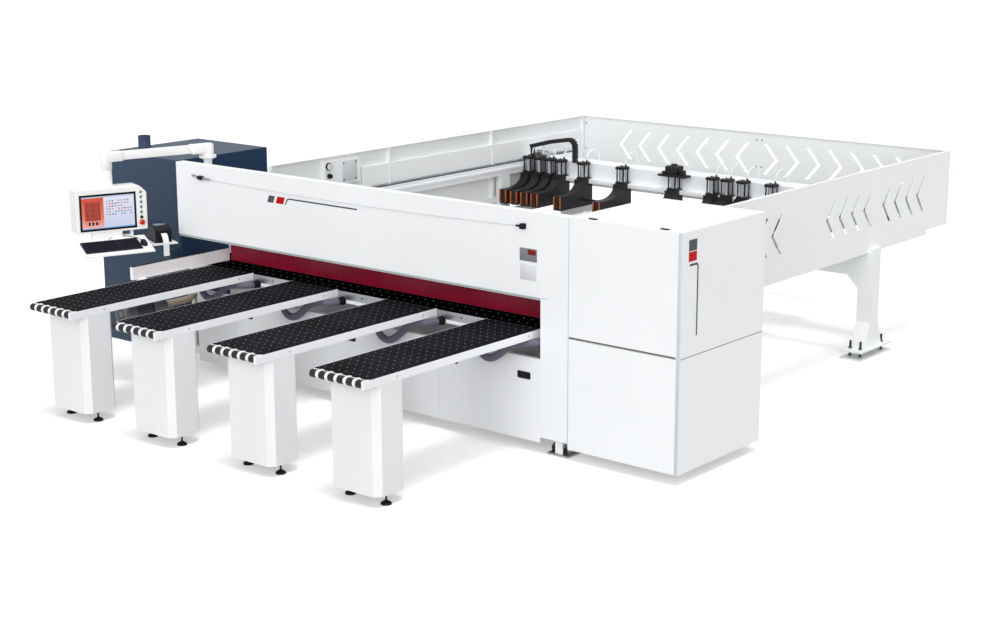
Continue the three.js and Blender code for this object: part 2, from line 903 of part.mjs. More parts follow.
// Safety curtain: dark red strips on the pressure beam's front face.
function safetyCurtain() {
  const left = pressureLeft + curtainInset;
  const right = pressureRight - curtainInset;
  const back = pressureFront - seatGap;
  const bottom = tableHeight + curtainClearance;
  const pitch = (right - left) / curtainStripCount;
  const slits = Array.from({ length: curtainStripCount - 1 }, (_, i) => {
    const x = left + (i + 1) * pitch;
    return block(
      [x - curtainSlit / 2, x + curtainSlit / 2],
      [back - curtainThickness - cutOverrun, back + cutOverrun],
      [bottom - cutOverrun, curtainTop - curtainHem],
    );
  });
  return cut(block([left, right], [back - curtainThickness, back], [bottom, curtainTop]), ...slits);
}
place('safety_curtain', safetyCurtain(), finish(red, 0.6));

// Column cover: closes the gap between the beam's right end and the cabinet.
function columnCover() {
  const right = cabinetLeft - seatGap;
  const upperLeft = beamRight + seatGap;
  const lower = cut(
    block([columnLeft, right], [0, columnDepth], [baseBottom, columnUpperBottom]),
    block(
      [columnLeft + columnWall, right - columnWall],
      [columnWall, columnDepth + cutOverrun],
      [baseBottom - cutOverrun, columnUpperBottom + cutOverrun],
    ),
  );
  const upper = cut(
    block([upperLeft, right], [0, beamCoverDepth], [columnUpperBottom, beamTop]),
    block(
      [upperLeft + columnWall, right - columnWall],
      [columnWall, beamCoverDepth + cutOverrun],
      [columnUpperBottom - cutOverrun, beamTop - columnWall],
    ),
  );
  return join(lower, upper);
}
place('column_cover', columnCover(), finish(white));

// Saw carriage: a plate with four trucks that grip the base's guide rails.
const carriageLeft = cabinetLeft + carriageInset;
const carriageBack = baseMidWeb - guideRailSize - seatGap;
const carriageFront = carriageBack - carriagePlate;
function sawCarriage() {
  const right = carriageLeft + carriageLength;
  const plate = block([carriageLeft, right], [carriageFront, carriageBack], [carriageBottom, carriageTop]);
  const truckBack = carriageBack + truckDepth;
  const truck = (x, z) => cut(
    block(
      [x, x + truckLength],
      [carriageBack - seatGap, truckBack],
      [z - truckLip, z + guideRailSize + truckLip],
    ),
    block(
      [x - cutOverrun, x + truckLength + cutOverrun],
      [carriageBack, truckBack + cutOverrun],
      [z - seatGap, z + guideRailSize + seatGap],
    ),
  );
  const starts = [carriageLeft, right - truckLength];
  const trucks = [guideRailLow, guideRailHigh].flatMap((z) => starts.map((x) => truck(x, z)));
  return join(plate, ...trucks);
}
place('saw_carriage', sawCarriage(), finish(steel, 0.5, 0.5));

// Saw unit: lift plate, motor, main arbor and scoring arm.
const unitBack = carriageFront - seatGap;
const unitFront = unitBack - liftPlateThickness;
const bladeBack = sawLine + mainBladeThickness / 2;
const arborFront = bladeBack + hubLength + seatGap;
function sawUnit() {
  const left = carriageLeft + liftPlateInset;
  const right = carriageLeft + carriageLength - liftPlateInset;
  const plateY = [unitFront, unitBack];
  const neckX = [arborX - arborNeckWidth / 2, arborX + arborNeckWidth / 2];
  const armX = [scoringX - scoringArborRadius, left + liftPlateInset];
  const motorY = [motorFront, unitFront + liftPlateThickness / 2];
  return join(
    block([left, right], plateY, [liftPlateBottom, liftPlateTop]),
    block(neckX, plateY, [liftPlateTop - arborNeckWidth, arborZ]),
    rodY(arborX, arborZ, arborRadius, arborFront, unitBack),
    rodY(motorX, motorZ, motorRadius, ...motorY, roundSides + smallSides),
    block(armX, plateY, [scoringZ - scoringArmHeight, scoringZ]),
    rodY(scoringX, scoringZ, scoringArborRadius, arborFront, unitBack),
  );
}
place('saw_unit', sawUnit(), finish(steel, 0.45, 0.5));

// A saw blade: a toothed disc with a hub towards the arbor and a nut in front.
function sawBlade(x, z, radius, teeth, hub, nut) {
  const points = Array.from({ length: teeth }, (_, i) => {
    const tip = (i / teeth) * 2 * Math.PI;
    const root = tip + (bladeGulletShare / teeth) * 2 * Math.PI;
    const inner = radius - bladeToothDepth;
    return [
      [x + radius * Math.cos(tip), z + radius * Math.sin(tip)],
      [x + inner * Math.cos(root), z + inner * Math.sin(root)],
    ];
  }).flat();
  const front = sawLine - mainBladeThickness / 2;
  return join(
    prismY(polygon(points), front, bladeBack),
    rodY(x, z, hub, bladeBack - mainBladeThickness / 2, bladeBack + hubLength),
    rodY(x, z, nut, front - hubNutLength, bladeBack, hexSides),
  );
}
const mainBlade = sawBlade(arborX, arborZ, mainBladeRadius, mainBladeTeeth, hubRadius, hubNutRadius);
place('main_blade', mainBlade, finish(steel, 0.3, 0.9));
const scorerHub = [scoringArborRadius, scoringNutRadius];
const scoringBlade = sawBlade(scoringX, scoringZ, scoringRadius, scoringTeeth, ...scorerHub);
place('scoring_blade', scoringBlade, finish(steel, 0.3, 0.9));

// Right cabinet: a sheet body, open to the front and to the base. Two shelves leave a slot for the blades.
function cabinetBody() {
  const front = doorThickness + seatGap;
  const stripLeft = cabinetRight - cornerStripWidth;
  const shelfBottom = cabinetSeamZ - cabinetShelf / 2;
  const shelfTop = cabinetSeamZ + cabinetShelf / 2;
  const inX = [cabinetLeft + cabinetWall, cabinetRight - cabinetWall];
  const inBack = cabinetDepth - cabinetWall;
  const bays = [[shelfTop, beamTop - cabinetWall], [cabinetBottom + cabinetWall, shelfBottom]];
  const body = join(
    block([cabinetLeft, cabinetRight], [front, cabinetDepth], [cabinetBottom, beamTop]),
    block([stripLeft, cabinetRight], [0, front + cabinetWall], [cabinetBottom, beamTop]),
  );
  const window = block(
    [cabinetLeft - cutOverrun, inX[0] + cutOverrun],
    [windowFront, windowBack],
    [windowBottom, windowTop],
  );
  const slot = block(
    inX,
    [sawLine - shelfSlotWidth / 2, sawLine + shelfSlotWidth / 2],
    [shelfBottom - cutOverrun, shelfTop + cutOverrun],
  );
  const seam = block(
    [cabinetRight - seamDepth, cabinetRight + cutOverrun],
    [-cutOverrun, cabinetDepth + cutOverrun],
    [cabinetSeamZ - seamHeight / 2, cabinetSeamZ + seamHeight / 2],
  );
  return cut(
    body,
    ...bays.map((z) => block([inX[0], stripLeft], [front - cutOverrun, inBack], z)),
    ...bays.map((z) => block(inX, [front + cabinetWall, inBack], z)),
    window,
    slot,
    seam,
  );
}
place('cabinet_body', cabinetBody(), finish(white));

// Cabinet doors: pans in front of the body, left of its corner strip.
function cabinetDoor(z0, z1) {
  const x0 = cabinetLeft + doorEdgeGap;
  const x1 = cabinetRight - cornerStripWidth - seatGap;
  return cut(
    block([x0, x1], [0, doorThickness], [z0, z1]),
    block(
      [x0 + doorSheet, x1 - doorSheet],
      [doorSheet, doorThickness + cutOverrun],
      [z0 + doorSheet, z1 - doorSheet],
    ),
  );
}
place('cabinet_upper_door', cabinetDoor(cabinetSeamZ + seamHeight / 2, beamTop), finish(white));
place('cabinet_lower_door', cabinetDoor(cabinetBottom, cabinetSeamZ - seamHeight / 2), finish(white));

// Electrical cabinet: a tall hollow case on a plinth box, with an exhaust spout on top.
const electricalRight = electricalLeft + electricalWidth;
const electricalBack = electricalFront + electricalDepth;
const plinthLeft = electricalLeft - plinthOverhang;
function electricalCabinet() {
  const inside = electricalWall;
  const caseY = [electricalFront, electricalBack];
  const plinthY = [electricalFront - plinthDepth, electricalFront + electricalWall];
  const spoutTop = electricalTop + spoutHeight;
  const boreZ = [electricalTop - inside - cutOverrun, spoutTop + cutOverrun];
  const caseOuter = block([electricalLeft, electricalRight], caseY, [0, electricalTop]);
  const plinth = block([plinthLeft, plinthRight], plinthY, [0, electricalSill]);
  const spout = rodZ(spoutX, spoutY, spoutRadius, electricalTop - electricalWall / 2, spoutTop);
  return cut(
    join(caseOuter, plinth, spout),
    block(
      [electricalLeft + inside, electricalRight - inside],
      [electricalFront + inside, electricalBack - inside],
      [inside, electricalTop - inside],
    ),
    block(
      [electricalLeft + inside + plinthOverhang, electricalRight - inside - plinthOverhang],
      [electricalFront - cutOverrun, electricalFront + inside + cutOverrun],
      [electricalSill + plinthOverhang, electricalTop - inside - plinthOverhang],
    ),
    block(
      [plinthLeft + inside, plinthRight - inside],
      [electricalFront - plinthDepth + inside, electricalFront - inside],
      [-cutOverrun, electricalSill - inside],
    ),
    rodZ(spoutX, spoutY, spoutRadius - spoutWall, ...boreZ),
  );
}
place('electrical_cabinet', electricalCabinet(), finish(slate));

const electricalDoorFront = electricalFront - seatGap - doorThickness;
function electricalDoor() {
  const x = [electricalLeft + cutOverrun, electricalRight - cutOverrun];
  const z = [electricalSill + electricalDoorGap, electricalTop - cutOverrun];
  return cut(
    block(x, [electricalDoorFront, electricalFront - seatGap], z),
    block(
      [x[0] + doorSheet, x[1] - doorSheet],
      [electricalDoorFront + doorSheet, electricalFront],
      [z[0] + doorSheet, z[1] - doorSheet],
    ),
  );
}
place('electrical_cabinet_door', electricalDoor(), finish(slate));

// The console hangs in front of the beam with its printer shelf's corner a set gap away from the cover,
// and the arm's reach then says where on the portal beam the post stands.
const armAngle = THREE.MathUtils.degToRad(armTurn);
const consoleAngle = THREE.MathUtils.degToRad(monitorTurn);
const shelfRight = printerShelfLeft + printerShelfWidth;
const shelfBack = printerShelfFront + printerShelfDepth;
const shelfReach = shelfRight * Math.sin(consoleAngle) + shelfBack * Math.cos(consoleAngle);
const postX = consoleX - armReach * Math.sin(armAngle);
const postY = armReach * Math.cos(armAngle) - shelfReach - consoleClearance;

// Console post: a tube on a foot plate along the portal beam, with a collar that the arm turns on.
function consolePost() {
  const foot = portalTop + seatGap;
  const plateX = [postX - postFlangeRadius, postX + postFlangeRadius];
  const plateY = [postY, portalBack - portalWall];
  const collarTop = postCollarBottom + postCollarHeight;
  return join(
    rodZ(postX, postY, postFlangeRadius, foot, foot + postFlangeThickness),
    block(plateX, plateY, [foot, foot + postFlangeThickness]),
    rodZ(postX, postY, postRadius, foot, collarTop),
    rodZ(postX, postY, postCollarRadius, postCollarBottom, collarTop),
  );
}
place('console_post', consolePost(), finish(white));

// The arm turns about the post, and the monitor about the arm's far end.
const armPivot = new THREE.Group();
armPivot.position.set(postX, postY, 0);
armPivot.rotation.z = armAngle;
machine.add(armPivot);
const monitorPivot = new THREE.Group();
monitorPivot.position.set(0, -armReach, 0);
monitorPivot.rotation.z = consoleAngle - armAngle;
armPivot.add(monitorPivot);

function consoleArm() {
  const bottom = postCollarBottom + postCollarHeight + seatGap;
  return join(
    rodZ(0, 0, armHubRadius, bottom, armTubeTop),
    block([-armTubeWidth / 2, armTubeWidth / 2], [-armReach, 0], [armTubeBottom, armTubeTop]),
    rodZ(0, -armReach, armElbowRadius, armElbowBottom, armTubeTop),
  );
}
place('console_arm', consoleArm(), finish(white), armPivot);

// Monitor housing: a shell with the screen's opening and the controls' holes in its front wall.
const monitorFront = -monitorDepth / 2;
const selectorZ = buttonTop - buttonCount * buttonPitch;
const stopZ = selectorZ - buttonPitch - seatGap;
function monitorOutline(inset) {
  const half = monitorWidth / 2 - inset;
  const bottom = monitorBottom + inset;
  const top = monitorTop - inset;
  return polygon([
    [-half, bottom], [half, bottom], [half, top - monitorChamfer],
    [half - monitorChamfer, top], [-half, top],
  ]);
}

function buttonZ(i) {
  return buttonTop - i * buttonPitch;
}

function monitorHousing() {
  const shell = cut(
    prismY(monitorOutline(0), monitorFront, -monitorFront),
    prismY(monitorOutline(monitorWall), monitorFront + monitorWall, -monitorFront - monitorWall),
  );
  const neck = rodZ(0, 0, monitorNeckRadius, monitorTop - monitorWall / 2, armElbowBottom - seatGap);
  const through = [monitorFront - cutOverrun, monitorFront + monitorWall + cutOverrun];
  const opening = block(
    [screenLeft - seatGap, screenLeft + screenWidth + seatGap], through,
    [screenTop - screenHeight - seatGap, screenTop + seatGap],
  );
  const hole = (z, stem) => rodY(buttonX, z, stem + slideGap, ...through, smallSides);
  const holes = Array.from({ length: buttonCount }, (_, i) => hole(buttonZ(i), buttonRadius));
  holes.push(hole(selectorZ, buttonRadius));
  holes.push(hole(stopZ, stopStemRadius));
  return cut(join(shell, neck), opening, ...holes);
}
place('monitor_housing', monitorHousing(), finish(white), monitorPivot);

const screenFront = monitorFront - screenProud;
const screen = block(
  [screenLeft, screenLeft + screenWidth],
  [screenFront, screenFront + screenThickness],
  [screenTop - screenHeight, screenTop],
);
place('monitor_screen', screen, finish(black, 0.2), monitorPivot);

// A control: a cap and stem in a hole of the front wall, held by a flange behind it.
function control(z, capRadius, capLength, proud, stemRadius) {
  const capFront = monitorFront - proud;
  const flangeY = [monitorFront + monitorWall + seatGap, monitorFront + monitorWall + seatGap + buttonFlange];
  const flangeRadius = stemRadius + buttonFlangeRadius - buttonRadius;
  return join(
    rodY(buttonX, z, capRadius, capFront, capFront + capLength, roundSides),
    rodY(buttonX, z, stemRadius, capFront, flangeY[1], smallSides),
    rodY(buttonX, z, flangeRadius, ...flangeY, smallSides),
  );
}
for (let i = 0; i < buttonCount; i += 1) {
  const button = control(buttonZ(i), buttonRadius, buttonProud, buttonProud, buttonRadius);
  place(`panel_button_${i + 1}`, button, finish(buttonGrey), monitorPivot);
}

function selectorKnob() {
  const ridge = block(
    [buttonX - selectorRidge / 2, buttonX + selectorRidge / 2],
    [monitorFront - selectorProud, monitorFront - seatGap],
    [selectorZ - selectorRadius, selectorZ + selectorRadius],
  );
  const skirt = selectorProud / 2;
  return join(control(selectorZ, selectorRadius, skirt - seatGap, skirt, buttonRadius), ridge);
}
place('selector_knob', selectorKnob(), finish(black), monitorPivot);
const stopButton = control(stopZ, stopRadius, stopHead, stopProud, stopStemRadius);
place('emergency_stop', stopButton, finish(stopRed), monitorPivot);

// Keyboard tray: a sloping plate on a bracket under the monitor, with the printer's shelf beside it.
function slopedPlate(startShare, endShare, lift, height, x0, x1) {
  const at = (share, up) => [trayBack - share * trayReach, trayTop - share * trayDrop + up];
  const top = lift + height;
  const side = polygon([at(startShare, lift), at(startShare, top), at(endShare, top), at(endShare, lift)]);
  return prismX(side, x0, x1);
}

function keyboardTray() {
  const bracketRight = trayBracketLeft + trayBracketWidth;
  const shelfZ = [printerShelfTop - printerShelfThickness, printerShelfTop];
  const shelfY = [printerShelfFront, printerShelfFront + printerShelfDepth];
  const armY = [trayBracketBack - printerArmWidth, trayBracketBack];
  const armRight = printerArmLeft + printerArmThickness;
  const top = monitorBottom - seatGap;
  return join(
    slopedPlate(0, 1, -trayThickness, trayThickness, trayLeft, trayLeft + trayWidth),
    block(
      [trayBracketLeft, bracketRight],
      [trayBracketFront, trayBracketBack],
      [trayTop - 2 * trayThickness, top],
    ),
    block([printerArmLeft, armRight], armY, [shelfZ[0], top]),
    block([printerArmLeft, printerShelfLeft + printerArmThickness], armY, shelfZ),
    block([bracketRight - printerArmThickness, armRight], armY, [trayTop, trayTop + printerArmThickness]),
    block([printerShelfLeft, printerShelfLeft + printerShelfWidth], shelfY, shelfZ),
  );
}
place('keyboard_tray', keyboardTray(), finish(white), monitorPivot);

const keyboardShares = [keyboardStartShare, keyboardEndShare];
const keyboardX = [keyboardLeft, keyboardLeft + keyboardWidth];
const keyboard = slopedPlate(...keyboardShares, seatGap, keyboardHeight, ...keyboardX);
place('keyboard', keyboard, finish(black), monitorPivot);

function labelPrinter() {
  const x0 = printerShelfLeft + (printerShelfWidth - printerWidth) / 2;
  const middle = x0 + printerWidth / 2;
  const bottom = printerShelfTop + seatGap;
  const front = printerShelfFront + printerInset;
  const back = front + printerDepth;
  const top = bottom + printerHeight;
  const side = polygon([
    [front, bottom], [back, bottom], [back, top],
    [front + printerBrow, top], [front, top - printerBrow / 2],
  ]);
  return cut(
    prismX(side, x0, x0 + printerWidth),
    block(
      [middle - printerMouthWidth / 2, middle + printerMouthWidth / 2],
      [front - cutOverrun, front + printerMouthDepth],
      [bottom + printerMouthLift, bottom + printerMouthLift + printerMouthHeight],
    ),
  );
}
place('label_printer', labelPrinter(), finish(black), monitorPivot);

// Rear frame: roller rails on cross beams, two legs on foot plates, and posts up to the pusher's rails.
const rearLeftInner = guardLeft + guardFlange + seatGap;
const rearRightInner = guardRight - guardFlange - seatGap;
function rearLeg(outerX, towardsRight) {
  const reach = (x) => (towardsRight ? [outerX, outerX + x] : [outerX - x, outerX]);
  const railLeft = towardsRight ? rearLeftInner : rearRightInner - pusherRailWidth;
  const inner = [railLeft, railLeft + pusherRailWidth];
  const legX = reach(rearLegWidth);
  const legY = [rearLegFront, rearLegFront + rearLegDepth];
  const middleX = (legX[0] + legX[1]) / 2;
  const middleY = (legY[0] + legY[1]) / 2;
  const footX = [middleX - rearFootWidth / 2, middleX + rearFootWidth / 2];
  const footY = [middleY - rearFootLength / 2, middleY + rearFootLength / 2];
  const flangeBottom = rearFootThickness + rearFootLift;
  const flangeTop = flangeBottom + rearFootThickness;
  const skirt = prismX(polygon([
    [legY[0] - rearFootSkirt, flangeTop - cutOverrun], [legY[1] + rearFootSkirt, flangeTop - cutOverrun],
    [legY[1], rearSkirtTop], [legY[0], rearSkirtTop],
  ]), ...legX);
  const bolts = footX.flatMap((edgeX, i) => footY.flatMap((edgeY, k) => {
    const x = edgeX + (i ? -rearBoltInsetX : rearBoltInsetX);
    const y = edgeY + (k ? -rearBoltInsetY : rearBoltInsetY);
    const nutBottoms = [rearFootThickness, flangeBottom - rearNutHeight, flangeTop];
    return [
      rodZ(x, y, rearBoltRadius, rearFootThickness / 2, rearBoltHeight, smallSides),
      ...nutBottoms.map((z) => rodZ(x, y, rearNutRadius, z, z + rearNutHeight, hexSides)),
    ];
  }));
  const sillX = reach(rearLegOverhang + rearSillWidth);
  const beamBottom = rearBeamZ()[0];
  const gussetTop = beamBottom + cutOverrun;
  const gussetEdge = towardsRight ? legX[1] - seatGap : legX[0] + seatGap;
  const gussetTip = gussetEdge + (towardsRight ? rearGussetReach : -rearGussetReach);
  const gusset = [
    [gussetEdge, gussetTop], [gussetTip, gussetTop], [gussetEdge, beamBottom - rearGussetReach],
  ];
  return [
    block(legX, legY, [flangeBottom, guardBottom - seatGap]),
    block(inner, legY, [guardBottom - crossBeamHeight, pusherRailBottom - seatGap]),
    block(footX, footY, [0, rearFootThickness]),
    block(footX, footY, [flangeBottom, flangeTop]),
    block(
      towardsRight ? [outerX + rearLegOverhang, sillX[1]] : [sillX[0], outerX - rearLegOverhang],
      [towardsRight ? guardLeftFront : cabinetDepth + seatGap, rearSillBack],
      [guardBottom - rearSillHeight, guardBottom - seatGap],
    ),
    prismY(polygon(towardsRight ? gusset.reverse() : gusset), rearLegFront, rearLegFront + rearGussetWidth),
    skirt,
    ...bolts,
  ];
}

function rearBeamZ() {
  const railBottom = tableHeight - tableRollerRadius - rollerRailHeight;
  return [railBottom - crossBeamHeight, railBottom + rollerRailHeight / 2];
}

function rearFrame() {
  const railTop = tableHeight - tableRollerRadius;
  const railZ = [railTop - rollerRailHeight, railTop];
  const railFront = baseBack + seatGap;
  const lastRail = rollerRailFirst + (rollerRailCount - 1) * rollerRailPitch + rollerRailWidth;
  const beamZ = rearBeamZ();
  const parts = [
    ...rearLeg(guardLeft - rearLegOverhang, true),
    ...rearLeg(guardRight + rearLegOverhang, false),
    block([guardLeft, guardRight], [rearLegFront, rearLegFront + crossBeamDepth], beamZ),
  ];
  for (const y of crossBeamYs) {
    parts.push(block([rollerRailFirst, lastRail], [y, y + crossBeamDepth], beamZ));
  }
  const perRail = Math.floor((rollerRailBack - railFront) / tableRollerPitch);
  for (let i = 0; i < rollerRailCount; i += 1) {
    const x = rollerRailFirst + i * rollerRailPitch;
    parts.push(block([x, x + rollerRailWidth], [railFront, rollerRailBack], railZ));
    const rollerLeft = x + (rollerRailWidth - tableRollerWidth) / 2;
    const roller = [rollerLeft, rollerLeft + tableRollerWidth];
    for (let k = 0; k < perRail; k += 1) {
      const y = railFront + (k + 1 / 2) * tableRollerPitch;
      parts.push(rodX(y, railTop, tableRollerRadius, ...roller, tableRollerSides));
    }
  }
  return join(...parts);
}
place('rear_frame', rearFrame(), finish(white));

// A pusher rail: a box beam with a linear rail on top and a gear rack on its inner face.
function pusherRail(x0, y0, rackSide) {
  const x1 = x0 + pusherRailWidth;
  const middle = (x0 + x1) / 2;
  const rackX = rackSide > 0 ? [x1 - seatGap, x1 + gearRackDepth] : [x0 - gearRackDepth, x0 + seatGap];
  const rackTop = pusherRailTop - gearRackDrop;
  const alongRail = [y0, pusherRailBack];
  const linearX = [middle - linearRailWidth / 2, middle + linearRailWidth / 2];
  return join(
    block([x0, x1], alongRail, [pusherRailBottom, pusherRailTop]),
    block(linearX, alongRail, [pusherRailTop - seatGap, pusherRailTop + linearRailHeight]),
    block(rackX, alongRail, [rackTop - gearRackHeight, rackTop]),
  );
}
place('pusher_rail_left', pusherRail(rearLeftInner, portalBack + seatGap, 1), finish(white));
const rightRailLeft = rearRightInner - pusherRailWidth;
place('pusher_rail_right', pusherRail(rightRailLeft, cabinetDepth + seatGap, -1), finish(white));

// Pusher beam: a hollow box between the rails, with a block over each linear rail.
function pusherBeam() {
  const innerLeft = rearLeftInner + pusherRailWidth + gearRackDepth + pusherSideGap;
  const innerRight = rearRightInner - pusherRailWidth - gearRackDepth - pusherSideGap;
  const back = pusherFront + pusherDepth;
  const tube = cut(
    block([innerLeft, innerRight], [pusherFront, back], [pusherBottom, pusherTop]),
    block(
      [innerLeft - cutOverrun, innerRight + cutOverrun],
      [pusherFront + pusherWall, back - pusherWall],
      [pusherBottom + pusherWall, pusherTop - pusherWall],
    ),
  );
  const blockZ = [pusherRailTop + linearRailHeight + seatGap, pusherBlockTop];
  const blockY = [pusherFront - pusherBlockOverhang, back + pusherBlockOverhang];
  return join(
    tube,
    block([rearLeftInner + pusherBlockInset, innerLeft + pusherBlockLap], blockY, blockZ),
    block([innerRight - pusherBlockLap, rearRightInner - pusherBlockInset], blockY, blockZ),
  );
}
place('pusher_beam', pusherBeam(), finish(white));

// Gripper arms: a boot-shaped arm and a cylinder for each gripper, on one bar along the pusher.
const gripperBack = pusherFront - seatGap;
const jawBack = gripperToeFront + gripperToeLength;
function gripperArm(x0) {
  const x1 = x0 + gripperWidth;
  const boot = polygon([
    [gripperToeFront, gripperBottom], [gripperBack, gripperBottom], [gripperBack, gripperNeckTop],
    [gripperNeckFront, gripperNeckTop],
    [gripperNeckFront - gripperShoulder / 2, gripperNeckTop - gripperShoulder],
    [gripperNeckFront - gripperSweepLength, gripperNeckTop - gripperSweepDrop],
    [jawBack + gripperShoulder, gripperToeTop + gripperInstepRise],
    [jawBack + seatGap, gripperToeTop],
    [jawBack + seatGap, gripperFingerTop], [gripperToeFront, gripperFingerTop],
  ]);
  const middle = (x0 + x1) / 2;
  const slotZ = [liftBarBottom - jawWindowGap, liftBarBottom + liftBarHeight + jawTravel + jawWindowGap];
  const windowY = [liftBarFront - jawWindowGap, liftBarFront + liftBarDepth + jawWindowGap];
  const slotX = [middle - jawArmWidth / 2 - jawWindowGap, middle + jawArmWidth / 2 + jawWindowGap];
  const cylinderY = (gripperNeckFront + gripperBack) / 2;
  const cap = cylinderCapSide / 2;
  const capZ = [cylinderTop - cutOverrun, cylinderTop + cylinderCapHeight];
  return join(
    cut(
      prismX(boot, x0, x1),
      block([x0 - cutOverrun, x1 + cutOverrun], windowY, slotZ),
      block(slotX, [jawBack - cutOverrun, windowY[1]], slotZ),
    ),
    rodZ(middle, cylinderY, cylinderRadius, gripperNeckTop - cutOverrun, cylinderTop),
    block([middle - cap, middle + cap], [cylinderY - cap, cylinderY + cap], capZ),
  );
}

// The cable chain's arch: from a stand on the first cylinder's cap, over a bend, down to the bar.
function cableChain(y0) {
  const t = chainBand;
  const bendX = chainRight - chainBend;
  const bendZ = chainTop - chainBend;
  const foot = gripperNeckTop - cutOverrun;
  const band = new THREE.Shape();
  band.moveTo(chainLeft, chainLeftTop);
  band.lineTo(chainLeft, chainLeftTop - t);
  band.lineTo(bendX, chainTop - t);
  band.absarc(bendX, bendZ, chainBend - t, Math.PI / 2, 0, true);
  band.lineTo(chainRight - t, foot);
  band.lineTo(chainRight, foot);
  band.lineTo(chainRight, bendZ);
  band.absarc(bendX, bendZ, chainBend, 0, Math.PI / 2, false);
  const standZ = [cylinderTop, chainLeftTop - t / 2];
  const stand = block([chainLeft, chainLeft + t / 2], [y0, y0 + chainWidth], standZ);
  return join(prismY(band, y0, y0 + chainWidth), stand);
}

// One gripper carries a wider tool plate on its cylinder.
function toolPlate(middle, y) {
  const top = cylinderTop + cylinderCapHeight;
  const depth = [y - toolPlateDepth / 2, y + toolPlateDepth / 2];
  const plateX = [middle - toolPlateWidth / 2, middle + toolPlateWidth / 2];
  const blockX = [middle - toolBlockWidth / 2, middle + toolBlockWidth / 2];
  return join(
    block(plateX, depth, [cylinderTop - cylinderCapHeight, top]),
    block(blockX, depth, [top - cutOverrun, top + toolBlockHeight]),
  );
}

function gripperArms() {
  const first = gripperLefts[0];
  const last = gripperLefts[gripperLefts.length - 1] + gripperWidth;
  const cylinderY = (gripperNeckFront + gripperBack) / 2;
  const bar = block(
    [first, last],
    [gripperBack - gripperBarDepth, gripperBack],
    [gripperNeckTop - gripperBarHeight, gripperNeckTop],
  );
  return join(
    bar,
    ...gripperLefts.map(gripperArm),
    cableChain(gripperBack - chainWidth - seatGap),
    toolPlate(gripperLefts[toolGripper] + gripperWidth / 2, cylinderY),
  );
}
place('gripper_arms', gripperArms(), finish(black, 0.5));

// Gripper jaws: the upper jaw of each gripper, lifted together by a bar behind the arms' toes.
function gripperJaws() {
  const first = gripperLefts[0];
  const last = gripperLefts[gripperLefts.length - 1] + gripperWidth;
  const barZ = [liftBarBottom, liftBarBottom + liftBarHeight];
  const bar = block([first, last], [liftBarFront, liftBarFront + liftBarDepth], barZ);
  const jawZ = [gripperFingerTop + seatGap, gripperToeTop];
  const armY = [jawBack - cutOverrun, liftBarFront + liftBarDepth / 2];
  const jaws = gripperLefts.map((x) => {
    const middle = x + gripperWidth / 2;
    return join(
      block([x, x + gripperWidth], [gripperToeFront, jawBack], jawZ),
      block([middle - jawArmWidth / 2, middle + jawArmWidth / 2], armY, barZ),
    );
  });
  return join(bar, ...jaws);
}
place('gripper_jaws', gripperJaws(), finish(black, 0.5));

// Guards: sheet walls round the rear, with flanges, ribs and chevron openings.
function chevron(tip, pointing, middle, height) {
  const half = height / 2;
  const back = tip - pointing * chevronReach;
  const stroke = pointing * chevronStroke;
  const points = [
    [tip, middle], [back, middle + half], [back - stroke, middle + half],
    [tip - stroke, middle], [back - stroke, middle - half], [back, middle - half],
  ];
  return polygon(pointing > 0 ? points : points.reverse());
}

function guardShell(along, across, ribs) {
  const [a0, a1] = along;
  const [sheet, flange] = across;
  const whole = [guardBottom, guardTop];
  const rib = (a) => [[a, a + guardRibWidth], flange, whole];
  return {
    sheet: [along, sheet, whole],
    flanges: [
      [along, flange, [guardTop - guardSheet, guardTop]],
      [along, flange, [guardBottom, guardBottom + guardSheet]],
    ],
    ribs: Array.from({ length: ribs }, (_, i) => rib(a0 + (i * (a1 - a0 - guardRibWidth)) / (ribs - 1))),
  };
}

function guardAlongY(outerX, inward, y0) {
  const sheet = [outerX, outerX + inward * guardSheet].sort((a, b) => a - b);
  const flange = [outerX, outerX + inward * guardFlange].sort((a, b) => a - b);
  const shell = guardShell([y0, guardRear - guardFlange - seatGap], [sheet, flange], guardRibCount);
  const asBlock = ([along, across, up]) => block(across, along, up);
  return join(asBlock(shell.sheet), ...shell.flanges.map(asBlock), ...shell.ribs.map(asBlock));
}

function guardLeftSide() {
  const inner = guardLeft + guardSheet;
  const duct = block([inner - seatGap, inner + ductReach], [ductFront, ductBack], [ductBottom, ductTop]);
  const service = block(
    [inner - seatGap, inner + serviceReach],
    [serviceFront, serviceFront + serviceLength],
    [serviceBottom, serviceTop],
  );
  return join(guardAlongY(guardLeft, 1, guardLeftFront), duct, service);
}
place('guard_left', guardLeftSide(), finish(white));

function guardRightSide() {
  const wall = guardAlongY(guardRight, -1, cabinetDepth + seatGap);
  const through = [guardRight - guardSheet - cutOverrun, guardRight + cutOverrun];
  const openings = [sideChevronRow1, sideChevronRow2, sideChevronRow3].flatMap((first) => (
    Array.from({ length: sideChevronCount }, (_, i) => {
      const outline = chevron(first + i * sideChevronPitch, -1, sideChevronZ, sideChevronHeight);
      return prismX(outline, ...through);
    })
  ));
  return cut(wall, ...openings);
}
place('guard_right', guardRightSide(), finish(white));

